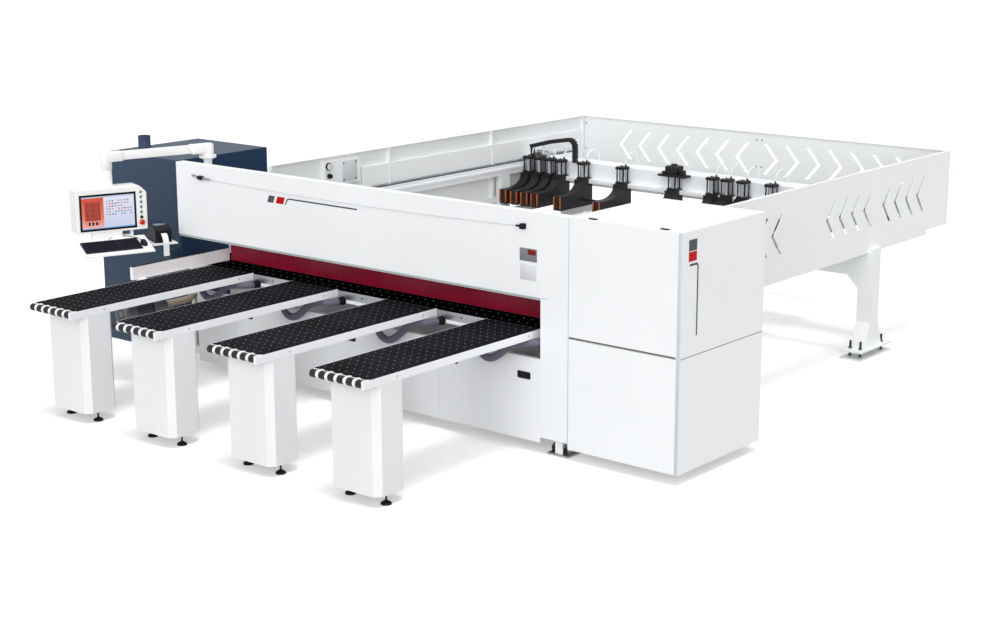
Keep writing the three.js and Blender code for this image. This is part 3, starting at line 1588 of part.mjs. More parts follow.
function guardRearSide() {
  const sheet = [guardRear - guardSheet, guardRear];
  const flange = [guardRear - guardFlange, guardRear];
  const shell = guardShell([guardLeft, guardRight], [sheet, flange], guardRibCount - 2);
  const asBlock = ([along, across, up]) => block(along, across, up);
  const through = [guardRear - guardSheet - cutOverrun, guardRear + cutOverrun];
  const opening = (tip, pointing) => prismY(chevron(tip, pointing, rearChevronZ, chevronHeight), ...through);
  const openings = Array.from({ length: rearChevronCount }, (_, i) => [
    opening(rearChevronFirst + i * rearChevronPitch, -1),
    opening(rearSeamX + rearChevronSeamGap + i * rearChevronPitch, 1),
  ]).flat();
  const wall = join(asBlock(shell.sheet), ...shell.flanges.map(asBlock), ...shell.ribs.map(asBlock));
  return cut(wall, ...openings);
}
place('guard_rear', guardRearSide(), finish(white));

// Regulator knob on the service box: a round grip with flats.
function regulatorKnob() {
  const x0 = guardLeft + guardSheet + serviceReach + seatGap;
  return rodX(regulatorY, regulatorZ, regulatorRadius, x0, x0 + regulatorLength, regulatorGrips);
}
place('regulator_knob', regulatorKnob(), finish(black));

// The part's origin is on the floor, at the middle of the machine's box.
const boxLeft = plinthLeft;
const boxRight = cabinetRight;
machine.position.set(-(boxLeft + boxRight) / 2, -(airTableFront + guardRear) / 2, 0);

const assembly = new THREE.Group();
assembly.add(machine);
export default assembly;
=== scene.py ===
# %% [markdown]
# # Dressing a panel beam saw
#
# The machine is about seven metres wide: four black air tables in front, a long white beam with a dark
# red curtain, a saw cabinet at the right, a slate blue electrical cabinet and a console at the left, and
# grippers between guard walls at the rear. The solid model gives every main form its place. This script
# gives each form its finish and adds what the solids leave out: nozzles, hoses, keys, trim and fittings.

# %% Load the frame
import json
import math

import bmesh
import bpy
import numpy as np
from mathutils import Matrix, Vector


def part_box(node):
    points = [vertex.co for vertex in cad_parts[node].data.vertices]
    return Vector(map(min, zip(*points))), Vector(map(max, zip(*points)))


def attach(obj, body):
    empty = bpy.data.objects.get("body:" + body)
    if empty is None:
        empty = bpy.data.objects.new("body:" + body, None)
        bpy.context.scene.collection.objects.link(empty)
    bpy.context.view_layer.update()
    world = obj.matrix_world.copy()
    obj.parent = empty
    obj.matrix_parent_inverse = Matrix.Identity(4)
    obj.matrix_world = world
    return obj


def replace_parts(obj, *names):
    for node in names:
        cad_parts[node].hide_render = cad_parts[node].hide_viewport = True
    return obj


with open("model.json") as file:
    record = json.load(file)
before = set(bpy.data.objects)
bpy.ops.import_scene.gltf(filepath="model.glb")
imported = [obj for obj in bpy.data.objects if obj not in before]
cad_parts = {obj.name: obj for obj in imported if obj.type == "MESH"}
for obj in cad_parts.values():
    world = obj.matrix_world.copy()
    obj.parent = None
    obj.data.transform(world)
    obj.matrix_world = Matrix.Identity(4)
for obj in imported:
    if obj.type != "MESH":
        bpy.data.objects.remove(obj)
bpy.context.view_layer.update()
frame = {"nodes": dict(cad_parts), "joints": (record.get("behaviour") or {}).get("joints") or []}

# %% [markdown]
# Places on a machine are read off its own datum faces. Here they are millimetres to the right of the rip
# fence's face, behind the beam's front face, and above the floor. One function turns them into metres in
# the model's frame, so that a place measured on the machine can be typed as it is.

# %% Places in millimetres from the machine's datum faces
MM = 0.001
BEAM_LEFT = -273
CURVE_STEPS = 32
beam_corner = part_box("beam_cover")[0]
DATUM = np.array([beam_corner.x - BEAM_LEFT * MM, beam_corner.y, 0.0])


def metres(points):
    """The datum's place plus a thousandth of each coordinate."""
    return DATUM + np.asarray(points, float) * MM


# %% [markdown]
# The camera comes first, because everything else is judged through it. Its place was found by fitting
# straight edges of the machine: a 64 mm lens, from the right and a little above, with no lens shift.

# %% Camera
CAMERA_PLACE = (12240.7, -10533.1, 4333.8)
CAMERA_YAW = 0.6895
CAMERA_PITCH = -0.234
CAMERA_ROLL = -0.0018
CAMERA_LENS = 63.99


def camera_axes(yaw, pitch, roll):
    """Right, up and backward directions of a camera that first turns left by yaw, then tips by pitch."""
    forward = np.array([-math.sin(yaw) * math.cos(pitch), math.cos(yaw) * math.cos(pitch), math.sin(pitch)])
    level = np.array([math.cos(yaw), math.sin(yaw), 0.0])
    upright = np.cross(level, forward)
    right = math.cos(roll) * level + math.sin(roll) * upright
    up = -math.sin(roll) * level + math.cos(roll) * upright
    return np.column_stack([right, up, -forward])


camera = bpy.data.objects.new("camera", bpy.data.cameras.new("camera"))
bpy.context.scene.collection.objects.link(camera)
camera.data.lens = CAMERA_LENS
camera.data.sensor_width = 36
camera.data.clip_end = 400
camera_matrix = np.eye(4)
camera_matrix[:3, :3] = camera_axes(CAMERA_YAW, CAMERA_PITCH, CAMERA_ROLL)
camera_matrix[:3, 3] = metres(CAMERA_PLACE)
camera.matrix_world = Matrix(camera_matrix.tolist())
bpy.context.scene.camera = camera
print("camera at", [round(v, 2) for v in camera.location], "m")

# %% [markdown]
# A finish is a little network of nodes. Written as Python sums it reads like the finish itself: a mask is
# height > 0.3, and a tone is 1 - mask * 0.2. The class below wraps one output of a node, and its operators
# add the Math nodes.


# %% A finish and the values in it
class Value:
    """One output of a node. Sums, products and comparisons of values add Math nodes."""

    def __init__(self, network, socket):
        self.network = network
        self.socket = socket

    def math(self, operation, *numbers):
        sockets = dict(enumerate((self, *numbers)))
        return self.network.node("ShaderNodeMath", {"operation": operation}, sockets)

    def __add__(self, other):
        return self.math("ADD", other)

    def __sub__(self, other):
        return self.math("SUBTRACT", other)

    def __rsub__(self, other):
        return self.math("MULTIPLY_ADD", -1.0, other)

    def __mul__(self, other):
        return self.math("MULTIPLY", other)

    def __truediv__(self, other):
        return self.math("DIVIDE", other)

    def __gt__(self, other):
        return self.math("GREATER_THAN", other)

    def __lt__(self, other):
        return self.math("LESS_THAN", other)

    __radd__ = __add__
    __rmul__ = __mul__

    def at_least(self, other):
        return self.math("MAXIMUM", other)

    def within(self, low, high):
        return (self > low) * (self < high)


class Network:
    """The nodes of a finish or of the sky: node() adds any node, and end() leads one into the output."""

    def __init__(self, owner):
        owner.use_nodes = True
        self.tree = owner.node_tree
        self.tree.nodes.clear()

    def node(self, kind, settings=None, sockets=None, output=0):
        made = self.tree.nodes.new(kind)
        for setting, value in (settings or {}).items():
            if setting == "stops":
                set_stops(made.color_ramp, value)
            else:
                setattr(made, setting, value)
        for socket, value in (sockets or {}).items():
            if isinstance(value, Value):
                self.tree.links.new(value.socket, made.inputs[socket])
            else:
                made.inputs[socket].default_value = value
        return Value(self, made.outputs[output])

    def end(self, kind, value):
        self.tree.links.new(value.socket, self.tree.nodes.new(kind).inputs["Surface"])

    def seen_directly(self):
        """1 for what the camera sees, also in a reflection or through glass, and 0 for light on its way."""
        rays = [self.node("ShaderNodeLightPath", output=f"Is {kind} Ray")
                for kind in ("Camera", "Glossy", "Transmission")]
        return rays[0].at_least(rays[1]).at_least(rays[2])


class Finish(Network):
    """A material being made; surface() ends it."""

    def __init__(self, name):
        self.material = bpy.data.materials.new(name)
        super().__init__(self.material)
        self.place = self.node("ShaderNodeTexCoord", output="Object")

    def axes(self):
        split = self.node("ShaderNodeSeparateXYZ", sockets={0: self.place})
        return [Value(self, socket) for socket in split.socket.node.outputs]

    def along(self, direction, start=(0.0, 0.0, 0.0)):
        """How far a point lies from start along a direction, in metres."""
        from_start = self.node("ShaderNodeVectorMath", {"operation": "SUBTRACT"}, {0: self.place, 1: start})
        product = {"operation": "DOT_PRODUCT"}
        return self.node("ShaderNodeVectorMath", product, {0: from_start, 1: direction}, "Value")

    def stretched(self, scale):
        return self.node("ShaderNodeMapping", sockets={"Vector": self.place, "Scale": scale})

    def noise(self, scale, detail=3.0, place=None, roughness=0.5):
        sockets = {"Vector": place or self.place, "Scale": scale, "Detail": detail, "Roughness": roughness}
        return self.node("ShaderNodeTexNoise", sockets=sockets)

    def mix(self, mask, colour_a, colour_b):
        """Colour a where the mask is 0, colour b where it is 1."""
        sockets = {0: mask, 6: colour_a, 7: colour_b}
        return self.node("ShaderNodeMix", {"data_type": "RGBA"}, sockets, output=2)

    def bump(self, height, distance, strength=1.0):
        sockets = {"Height": height, "Distance": distance, "Strength": strength}
        return self.node("ShaderNodeBump", sockets=sockets)

    def surface(self, colour, roughness=0.5, metallic=0.0, normal=None, **steady):
        sockets = {"Base Color": colour, "Roughness": roughness, "Metallic": metallic}
        if normal is not None:
            sockets["Normal"] = normal
        sockets.update({name.replace("_", " "): value for name, value in steady.items()})
        self.end("ShaderNodeOutputMaterial", self.node("ShaderNodeBsdfPrincipled", sockets=sockets))
        return self.material


def set_stops(ramp, stops):
    ramp.elements.remove(ramp.elements[0])
    for index, (position, colour) in enumerate(stops):
        stop = ramp.elements[0] if index == 0 else ramp.elements.new(position)
        stop.position = position
        stop.color = colour


def srgb(red, green, blue):
    """A colour as a screen shows it, 0 to 255, made linear by the usual curve."""
    def linear(level):
        share = level / 255
        return share / 12.92 if share < 0.04045 else ((share + 0.055) / 1.055) ** 2.4
    return (linear(red), linear(green), linear(blue), 1.0)


def shade(colour, factor):
    return tuple(channel * factor for channel in colour[:3]) + (1.0,)


# %% [markdown]
# Nearly all sheet on the machine is powder coated. Powder coat has a fine orange-peel skin, a slight drift
# of tone over a large panel, and gathers a little dust low down. One recipe with another colour gives the
# white panels, the cooler white of the legs, and the slate blue of the electrical cabinet, whose right face
# is painted darker as painted shade.


# %% Coated sheet
PEEL_GRAIN = 420.0
DUST_HEIGHT = 0.35


def coated(name, colour, roughness=0.42, drift=0.03, dust=0.05, specular=0.35, side=None):
    """Powder coat. Side may give a place along X in metres and the colour of the coat beyond it, which paints
    shade on the face past that place.
    """
    coat = Finish(name)
    right, _, height = coat.axes()
    cloud = coat.noise(0.9, 3.0)
    peel = coat.noise(PEEL_GRAIN, 2.0)
    scuff = coat.noise(22.0, 6.0, coat.stretched((1.0, 1.0, 0.35)), 0.65)
    settled = ((DUST_HEIGHT - height) * 2.0 * scuff).at_least(0.0) * dust
    tone = coat.mix(cloud, shade(colour, 1 - drift), shade(colour, min(1.0 + drift, 1.0 / max(colour[:3]))))
    base = coat.mix(settled, tone, srgb(150, 145, 136))
    # Past side's place the coat takes a darker colour: painted shade on the face turned away from the lamps.
    if side:
        base = coat.mix(right > side[0], base, side[1])
    gloss = roughness + (scuff - 0.5) * 0.10
    return coat.surface(base, gloss, normal=coat.bump(peel, 0.00012, 0.35), Specular_IOR_Level=specular)


WHITE = srgb(240, 242, 244)
white_coat = coated("white_coat", WHITE)
leg_coat = coated("leg_coat", srgb(234, 235, 237), roughness=0.38, dust=0.12)
guard_coat = coated("guard_coat", srgb(238, 240, 241), roughness=0.36)
# The slate cabinet's right face is painted darker: painted shade.
slate_coat = coated("slate_coat", srgb(58, 73, 93), roughness=0.5, drift=0.05, dust=0.06, specular=0.12,
                    side=(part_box("electrical_cabinet")[1].x - MM, srgb(36, 58, 86)))
console_white = coated("console_white", srgb(240, 240, 239), roughness=0.40)


# %% [markdown]
# The tables are decked with black phenolic sheet. Years of panels sliding along them leave faint streaks
# in the direction of feed, and the sheet is a little glossier there. The white beads in it are the air
# nozzles, which are pieces of their own.


# %% Black deck, rollers and mouldings
DECK_TOP = 980


def black_deck(name, dark, light, shine):
    """Black sheet with pale streaks; its sawn edges, below the top face, are darker still."""
    deck = Finish(name)
    streak = deck.noise(60.0, 4.0, deck.stretched((1.0, 0.04, 1.0)), 0.6)
    cloud = deck.noise(2.2, 4.0)
    speck = deck.noise(700.0, 2.0)
    worn = streak * cloud * 1.6
    top = deck.axes()[2] > (DECK_TOP - 1.5) * MM
    colour = deck.mix(top, srgb(6, 6, 7), deck.mix(worn, dark, light))
    return deck.surface(colour, 0.8 - worn * 0.2, normal=deck.bump(speck, 0.0001, 0.4),
                        Specular_IOR_Level=shine)


def moulded(name, colour, roughness=0.5, grain=900.0, specular=0.4):
    """Moulded plastic or rubber: an even colour with a fine spark-eroded grain."""
    plastic = Finish(name)
    cloud = plastic.noise(9.0, 3.0)
    pores = plastic.noise(grain, 2.0)
    tone = plastic.mix(cloud, shade(colour, 0.88), shade(colour, 1.1))
    return plastic.surface(tone, roughness + (cloud - 0.5) * 0.12, normal=plastic.bump(pores, 0.0001, 0.5),
                           Specular_IOR_Level=specular)


deck_black = black_deck("black_deck", srgb(11, 11, 14), srgb(33, 33, 39), 0.03)
main_black = black_deck("main_black", srgb(4, 4, 5), srgb(10, 9, 10), 0.0)
roller_black = moulded("roller_black", srgb(24, 24, 27), roughness=0.5, specular=0.3)
plastic_black = moulded("plastic_black", srgb(20, 21, 27), roughness=0.5, specular=0.15)
key_black = moulded("key_black", srgb(24, 26, 36), roughness=0.65, specular=0.08)
cast_black = moulded("cast_black", srgb(28, 29, 32), roughness=0.45, grain=350.0, specular=0.25)
plastic_grey = moulded("plastic_grey", srgb(118, 121, 125), roughness=0.4)
trim_grey = moulded("trim_grey", srgb(70, 74, 79), roughness=0.45, specular=0.2)
trim_red = moulded("trim_red", srgb(188, 2, 6), roughness=0.5, specular=0.15)
stop_red = moulded("stop_red", srgb(206, 26, 22), roughness=0.3, specular=0.5)
pad_brown = moulded("pad_brown", srgb(186, 92, 30), roughness=0.6, specular=0.2)
tube_milk = moulded("tube_milk", srgb(236, 239, 242), roughness=0.35, specular=0.4)
wire_pale = moulded("wire_pale", srgb(206, 207, 209), roughness=0.4)
hose_grey = moulded("hose_grey", srgb(104, 100, 116), roughness=0.6, specular=0.25)
duct_sand = moulded("duct_sand", srgb(172, 158, 142), roughness=0.6, specular=0.2)
label_paper = moulded("label_paper", srgb(236, 237, 240), roughness=0.6, grain=300.0, specular=0.2)


# %% [markdown]
# Bare metal is told from paint by the way a highlight runs: turned and drawn parts carry fine lines in one
# direction. Noise squeezed along that direction gives the lines, and feeds both roughness and bump.


# %% Bare metal
def drawn_metal(name, colour, lines=(1.0, 0.03, 1.0), roughness=0.32, scale=160.0):
    metal = Finish(name)
    line = metal.noise(scale, 3.0, metal.stretched(lines), 0.6)
    cloud = metal.noise(5.0, 4.0)
    tone = metal.mix(cloud, shade(colour, 0.86), shade(colour, 1.06))
    return metal.surface(tone, roughness + (line - 0.5) * 0.25, 0.92, metal.bump(line, 0.00012, 0.4))


steel = drawn_metal("steel", srgb(176, 178, 182), (0.05, 1.0, 1.0))
chrome = drawn_metal("chrome", srgb(214, 216, 220), (1.0, 1.0, 0.05), roughness=0.16)
aluminium = drawn_metal("aluminium", srgb(196, 198, 201), (1.0, 1.0, 0.08), roughness=0.3)
zinc = drawn_metal("zinc", srgb(168, 170, 172), (1.0, 1.0, 1.0), roughness=0.4)
motor_grey = drawn_metal("motor_grey", srgb(104, 104, 108), (1.0, 0.2, 1.0), roughness=0.45)

# %% [markdown]
# The rip fence is a pale anodised extrusion, the curtain a dark red soft PVC whose strips ripple a little,
# and blades are ground steel with lines that circle the arbor. The curtain's top band, under the beam
# cover, is painted darker: painted shade.


# %% Fence, curtain and blade
# Height in metres above which the curtain, under the beam cover, is painted darker: painted shade.
SHADED_TOP_HEIGHT = 1.15


def curtain_vinyl():
    vinyl = Finish("curtain_vinyl")
    height = vinyl.axes()[2]
    ripple = vinyl.noise(3.2, 2.0, vinyl.stretched((1.0, 1.0, 0.15)))
    cloud = vinyl.noise(1.1, 3.0)
    tone = vinyl.mix(cloud, srgb(122, 8, 38), srgb(146, 12, 46))
    # Above that height the vinyl takes a darker red: painted shade under the beam cover.
    colour = vinyl.mix(height > SHADED_TOP_HEIGHT, tone, srgb(116, 8, 36))
    return vinyl.surface(colour, 0.34, normal=vinyl.bump(ripple, 0.02, 0.5), Specular_IOR_Level=0.35)


def ground_disc(name, node):
    low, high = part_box(node)
    middle = (low + high) / 2
    disc = Finish(name)
    across = disc.along((1.0, 0.0, 0.0), tuple(middle))
    up = disc.along((0.0, 0.0, 1.0), tuple(middle))
    radius = (across * across + up * up).math("SQRT")
    sockets = {"W": radius, "Scale": 900.0, "Detail": 3.0}
    rings = disc.node("ShaderNodeTexNoise", {"noise_dimensions": "1D"}, sockets)
    tone = disc.mix(rings, srgb(150, 152, 156), srgb(198, 200, 204))
    return disc.surface(tone, 0.22 + rings * 0.2, 0.95, disc.bump(rings, 0.0001, 0.5))


def fence_alloy():
    alloy = Finish("fence_alloy")
    line = alloy.noise(240.0, 3.0, alloy.stretched((1.0, 0.02, 1.0)))
    cloud = alloy.noise(1.6, 3.0)
    tone = alloy.mix(cloud, srgb(241, 236, 238), srgb(248, 244, 245))
    return alloy.surface(tone, 0.46 + (line - 0.5) * 0.2, 0.0, alloy.bump(line, 0.0001, 0.4))


def steel_topped(name, colour, low, high):
    """White sheet whose rail and rack, between two heights in metres, are bare steel."""
    coat = Finish(name)
    height = coat.axes()[2]
    line = coat.noise(260.0, 3.0, coat.stretched((1.0, 0.03, 1.0)))
    mask = height.within(low, high)
    base = coat.mix(mask, colour, srgb(84, 87, 94))
    gloss = 0.42 - mask * 0.1 + (line - 0.5) * 0.08
    return coat.surface(base, gloss, mask * 0.8, coat.bump(line, 0.0001, 0.3))


curtain_red = curtain_vinyl()
fence_pale = fence_alloy()
blade_steel = ground_disc("blade_steel", "main_blade")
scorer_steel = ground_disc("scorer_steel", "scoring_blade")
rail_white = steel_topped("rail_white", WHITE, 1.4005, 1.42)


# %% [markdown]
# The beam cover ends below in an extruded lip of pale green-grey alloy. It belongs to the same solid as
# the cover, so its finish is chosen by height, which costs one comparison instead of another piece. The
# groove along the lip is painted darker: painted shade.


# %% Beam cover with its pale lip
LIP_TOP = 1.2565
GROOVE_HEIGHT = 1.241


def lipped_cover():
    cover = Finish("beam_cover_coat")
    height = cover.axes()[2]
    cloud = cover.noise(0.8, 3.0)
    peel = cover.noise(PEEL_GRAIN, 2.0)
    # The groove is the lip's colour made darker: painted shade in the recess.
    groove_shade = height.within(GROOVE_HEIGHT - 2 * MM, GROOVE_HEIGHT + 2 * MM)
    lip = cover.mix(groove_shade, srgb(196, 207, 208), srgb(128, 140, 142))
    coat = cover.mix(cloud, shade(WHITE, 0.97), shade(WHITE, 1.03))
    below = height < LIP_TOP
    return cover.surface(cover.mix(below, coat, lip), 0.4 - below * 0.12,
                         normal=cover.bump(peel, 0.00012, 0.35), Specular_IOR_Level=0.35)


beam_coat = lipped_cover()

# %% [markdown]
# The operator's screen glows, so its finish is light, not paint. The picture is a plain layout of our own:
# a warm cutting plan at one side, rows of small coloured tiles at the other, and bars above and below.
# Every shape is a comparison on two coordinates that run along the screen's width and height.

# %% Axes of the console
joints = {joint["name"]: joint for joint in frame["joints"]}
swivel = (np.array(joints["monitor_swivel"]["pos_m"]) - DATUM) / MM
press_axis = np.array(joints["button_1_press"]["axis"], float)
MONITOR_INWARD = press_axis / np.linalg.norm(press_axis)
MONITOR_ACROSS = np.cross(MONITOR_INWARD, (0.0, 0.0, 1.0))
SCREEN_LEFT = -288
SCREEN_WIDTH = 504
SCREEN_TOP = 1688
SCREEN_HEIGHT = 313
screen_foot = np.array([*swivel[:2], SCREEN_TOP - SCREEN_HEIGHT])
screen_corner = metres(screen_foot + SCREEN_LEFT * MONITOR_ACROSS)
print("console faces", [round(float(v), 3) for v in -MONITOR_INWARD])


# %% Screen picture
def striped(coordinate, count, share):
    """1 in the first share of each of count stripes, 0 in the rest."""
    return (coordinate * count).math("FRACT") < share


def screen_glow():
    glow = Finish("screen_picture")
    across = glow.along(tuple(MONITOR_ACROSS), tuple(screen_corner)) / (SCREEN_WIDTH * MM)
    up = glow.along((0.0, 0.0, 1.0), tuple(screen_corner)) / (SCREEN_HEIGHT * MM)
    plan_side = across < 0.42
    warm = glow.node("ShaderNodeValToRGB", {"stops": [
        (0.0, srgb(246, 196, 186)), (0.35, srgb(238, 120, 92)), (1.0, srgb(222, 72, 42))]}, {0: up})
    pale = glow.node("ShaderNodeValToRGB", {"stops": [
        (0.0, srgb(206, 214, 244)), (1.0, srgb(232, 236, 250))]}, {0: up})
    picture = glow.mix(plan_side, pale, warm)
    sheet = across.within(0.08, 0.36) * up.within(0.28, 0.82)
    cuts = striped(across, 9.0, 0.06).at_least(striped(up, 7.0, 0.07))
    picture = glow.mix(sheet, picture, glow.mix(cuts, srgb(176, 70, 52), srgb(92, 44, 40)))
    stack = across.within(0.10, 0.34) * up.within(0.14, 0.24) * striped(across, 15.0, 0.6)
    picture = glow.mix(stack, picture, srgb(38, 40, 46))
    tile_x = across * 18.0
    tile_y = up * 13.0
    cell = glow.node("ShaderNodeCombineXYZ", sockets={0: tile_x.math("FLOOR"), 1: tile_y.math("FLOOR")})
    dye = glow.node("ShaderNodeTexWhiteNoise", sockets={"Vector": cell}, output="Value")
    tile = glow.node("ShaderNodeValToRGB", {"stops": [
        (0.0, srgb(64, 92, 176)), (0.3, srgb(232, 132, 62)), (0.55, srgb(90, 160, 196)),
        (0.8, srgb(206, 64, 60)), (1.0, srgb(60, 66, 110))]}, {0: dye})
    shown = tile_x.math("FRACT").within(0.2, 0.8) * tile_y.math("FRACT").within(0.3, 0.75) * (dye > 0.25)
    shown = shown * across.within(0.47, 0.93) * up.within(0.38, 0.86)
    picture = glow.mix(shown, picture, tile)
    picture = glow.mix(up > 0.93, picture, srgb(196, 206, 232))
    picture = glow.mix(up < 0.065, picture, srgb(120, 176, 226))
    edge = across.within(0.022, 0.978) * up.within(0.035, 0.965)
    picture = glow.mix(edge, srgb(20, 21, 24), picture)
    return glow.surface(srgb(14, 14, 16), 0.22, Emission_Color=glow.mix(edge, srgb(0, 0, 0), picture),
                        Emission_Strength=0.92, Specular_IOR_Level=0.3)


screen_picture = screen_glow()

# %% [markdown]
# Now the forms. Every new piece is a surface worked out with numpy: rings of points that are joined by
# quads, and closed by a flat face at both ends. Turned parts, tubes, rounded boxes and cut plates are all
# such rings, so one function makes them all.


# %% Shapes as rings of points
class Shape:
    """Points in millimetres, and faces as one row of point numbers with each face's count of corners."""

    def __init__(self, points, corners, counts):
        self.points = np.asarray(points, float)
        self.corners = np.asarray(corners, int)
        self.counts = np.asarray(counts, int)

    def __add__(self, other):
        return Shape(np.vstack([self.points, other.points]),
                     np.concatenate([self.corners, other.corners + len(self.points)]),
                     np.concatenate([self.counts, other.counts]))

    def reshaped(self, points):
        """The same faces with other points."""
        return Shape(points, self.corners, self.counts)

    def moved(self, x=0.0, y=0.0, z=0.0):
        return self.reshaped(self.points + (x, y, z))

    def mirrored_y(self):
        return self.reshaped(self.points * (1, -1, 1))

    def reordered(self, *order):
        """The coordinates in another order: (0, 2, 1) stands a plate up along X, (2, 0, 1) along Y."""
        return self.reshaped(self.points[:, order])

    def turned_to(self, axis):
        """The shape's Z direction becomes X or Y; coordinates move in a ring, so nothing is mirrored."""
        return self.reshaped(np.roll(self.points, {"x": 1, "y": 2}[axis], axis=1))

    def rotated(self, degrees):
        """Turned about the vertical through the origin."""
        cos, sin = math.cos(math.radians(degrees)), math.sin(math.radians(degrees))
        return self.reshaped(self.points @ np.array([[cos, sin, 0], [-sin, cos, 0], [0, 0, 1]]))

    def repeated(self, places, turns=None):
        """One copy at each place, all in one array sum. Turns may hold the three axes of each copy."""
        places = np.asarray(places, float).reshape(-1, 3)
        copies = self.points[None] if turns is None else np.einsum("pk,nkj->npj", self.points, turns)
        points = (copies + places[:, None]).reshape(-1, 3)
        shift = np.arange(len(places))[:, None] * len(self.points)
        return Shape(points, (self.corners[None] + shift).ravel(), np.tile(self.counts, len(places)))


def joined(shapes):
    whole = shapes[0]
    for shape in shapes[1:]:
        whole = whole + shape
    return whole


def lofted(rings, closed=False):
    """Rings of points, each joined to the next by quads. Flat faces close both ends, unless the last ring is
    joined to the first."""
    rings = np.asarray(rings, float)
    count, around = rings.shape[:2]
    steps = count if closed else count - 1
    row, column = np.meshgrid(np.arange(steps), np.arange(around), indexing="ij")
    beside = (column + 1) % around
    above = (row + 1) % count
    corners = np.stack([row * around + column, row * around + beside,
                        above * around + beside, above * around + column], -1).reshape(-1)
    counts = np.full(steps * around, 4)
    if not closed:
        ends = np.concatenate([np.arange(around)[::-1], (count - 1) * around + np.arange(around)])
        corners = np.concatenate([corners, ends])
        counts = np.append(counts, [around, around])
    return Shape(rings.reshape(-1, 3), corners, counts)


def turned(profile, sides=CURVE_STEPS):
    """Radius and height pairs carried round the Z axis: x = r cos a, y = r sin a."""
    profile = np.asarray(profile, float)
    angle = np.linspace(0, 2 * math.pi, sides, endpoint=False)
    circle = np.stack([np.cos(angle), np.sin(angle)], -1)
    flat = profile[:, :1, None] * circle[None]
    height = np.broadcast_to(profile[:, 1:, None], (len(profile), sides, 1))
    return lofted(np.concatenate([flat, height], -1))


def cylinder(radius, low, high, sides=CURVE_STEPS):
    return turned([(0, low), (radius, low), (radius, high), (0, high)], sides)


def corner_places(half_x, half_y, z, middle=(0, 0)):
    """The four corners of a level rectangle about its middle."""
    return [(middle[0] + sx * half_x, middle[1] + sy * half_y, z) for sx in (-1, 1) for sy in (-1, 1)]


def rounded_box(x, y, z, radius=2.0, steps=3):
    """A box moved in by the radius, with an eighth of a ball round each corner, as stacked rings."""
    lows, highs = np.array([x, y, z], float).T
    middle, half = (lows + highs) / 2, (highs - lows) / 2 - radius
    quarter = np.linspace(0, math.pi / 2, steps)
    around = np.concatenate([quarter + corner * math.pi / 2 for corner in range(4)])
    side_x = np.repeat([1, -1, -1, 1], steps)
    side_y = np.repeat([1, 1, -1, -1], steps)
    rise = np.concatenate([quarter - math.pi / 2, quarter])
    side_z = np.repeat([-1, 1], steps)
    ring_x = side_x * half[0] + radius * np.cos(rise)[:, None] * np.cos(around)
    ring_y = side_y * half[1] + radius * np.cos(rise)[:, None] * np.sin(around)
    ring_z = np.broadcast_to((side_z * half[2] + radius * np.sin(rise))[:, None], ring_x.shape)
    return lofted(np.stack([ring_x, ring_y, ring_z], -1) + middle)


def plate(outline, low, high, edge=1.0):
    """A closed outline in X and Y carried up Z, its rim moved in by the edge's width at both faces."""
    outline = np.asarray(outline, float)
    run = np.roll(outline, -1, axis=0) - np.roll(outline, 1, axis=0)
    outward = np.stack([run[:, 1], -run[:, 0]], -1) / np.linalg.norm(run, axis=1, keepdims=True)
    levels = [(low, edge), (low + edge, 0.0), (high - edge, 0.0), (high, edge)]
    return lofted([np.insert(outline - inset * outward, 2, level, axis=1) for level, inset in levels])


def rounded_outline(width, height, radius, steps=5):
    """A rectangle about the origin, its corners quarter circles."""
    quarter = np.linspace(0, math.pi / 2, steps)
    corners = [(1, 1), (-1, 1), (-1, -1), (1, -1)]
    parts = [np.stack([sx * (width / 2 - radius) + radius * np.cos(quarter + turn * math.pi / 2),
                       sy * (height / 2 - radius) + radius * np.sin(quarter + turn * math.pi / 2)], -1)
             for turn, (sx, sy) in enumerate(corners)]
    return np.vstack(parts)


def smooth_path(knots, count, rounds=12):
    """Points spaced evenly along the runs between knots, then averaged with their neighbours, ends held."""
    knots = np.asarray(knots, float)
    gaps = np.linalg.norm(np.diff(knots, axis=0), axis=1)
    reach = np.concatenate([[0], np.cumsum(gaps)])
    spaced = np.linspace(0, reach[-1], count)
    path = np.stack([np.interp(spaced, reach, knots[:, axis]) for axis in range(3)], -1)
    for _ in range(rounds):
        path[1:-1] = (path[:-2] + 2 * path[1:-1] + path[2:]) / 4
    return path


def tube(path, radius, upright, sides=16):
    """A circle carried along a path. Each ring stands square to the path; upright is never along it."""
    path = np.asarray(path, float)
    along = np.gradient(path, axis=0)
    along /= np.linalg.norm(along, axis=1, keepdims=True)
    side = np.cross(along, upright)
    side /= np.linalg.norm(side, axis=1, keepdims=True)
    over = np.cross(side, along)
    angle = np.linspace(0, 2 * math.pi, sides, endpoint=False)
    radius = np.broadcast_to(radius, len(path))[:, None, None]
    ring = np.cos(angle)[None, :, None] * side[:, None] - np.sin(angle)[None, :, None] * over[:, None]
    return lofted(path[:, None] + radius * ring)


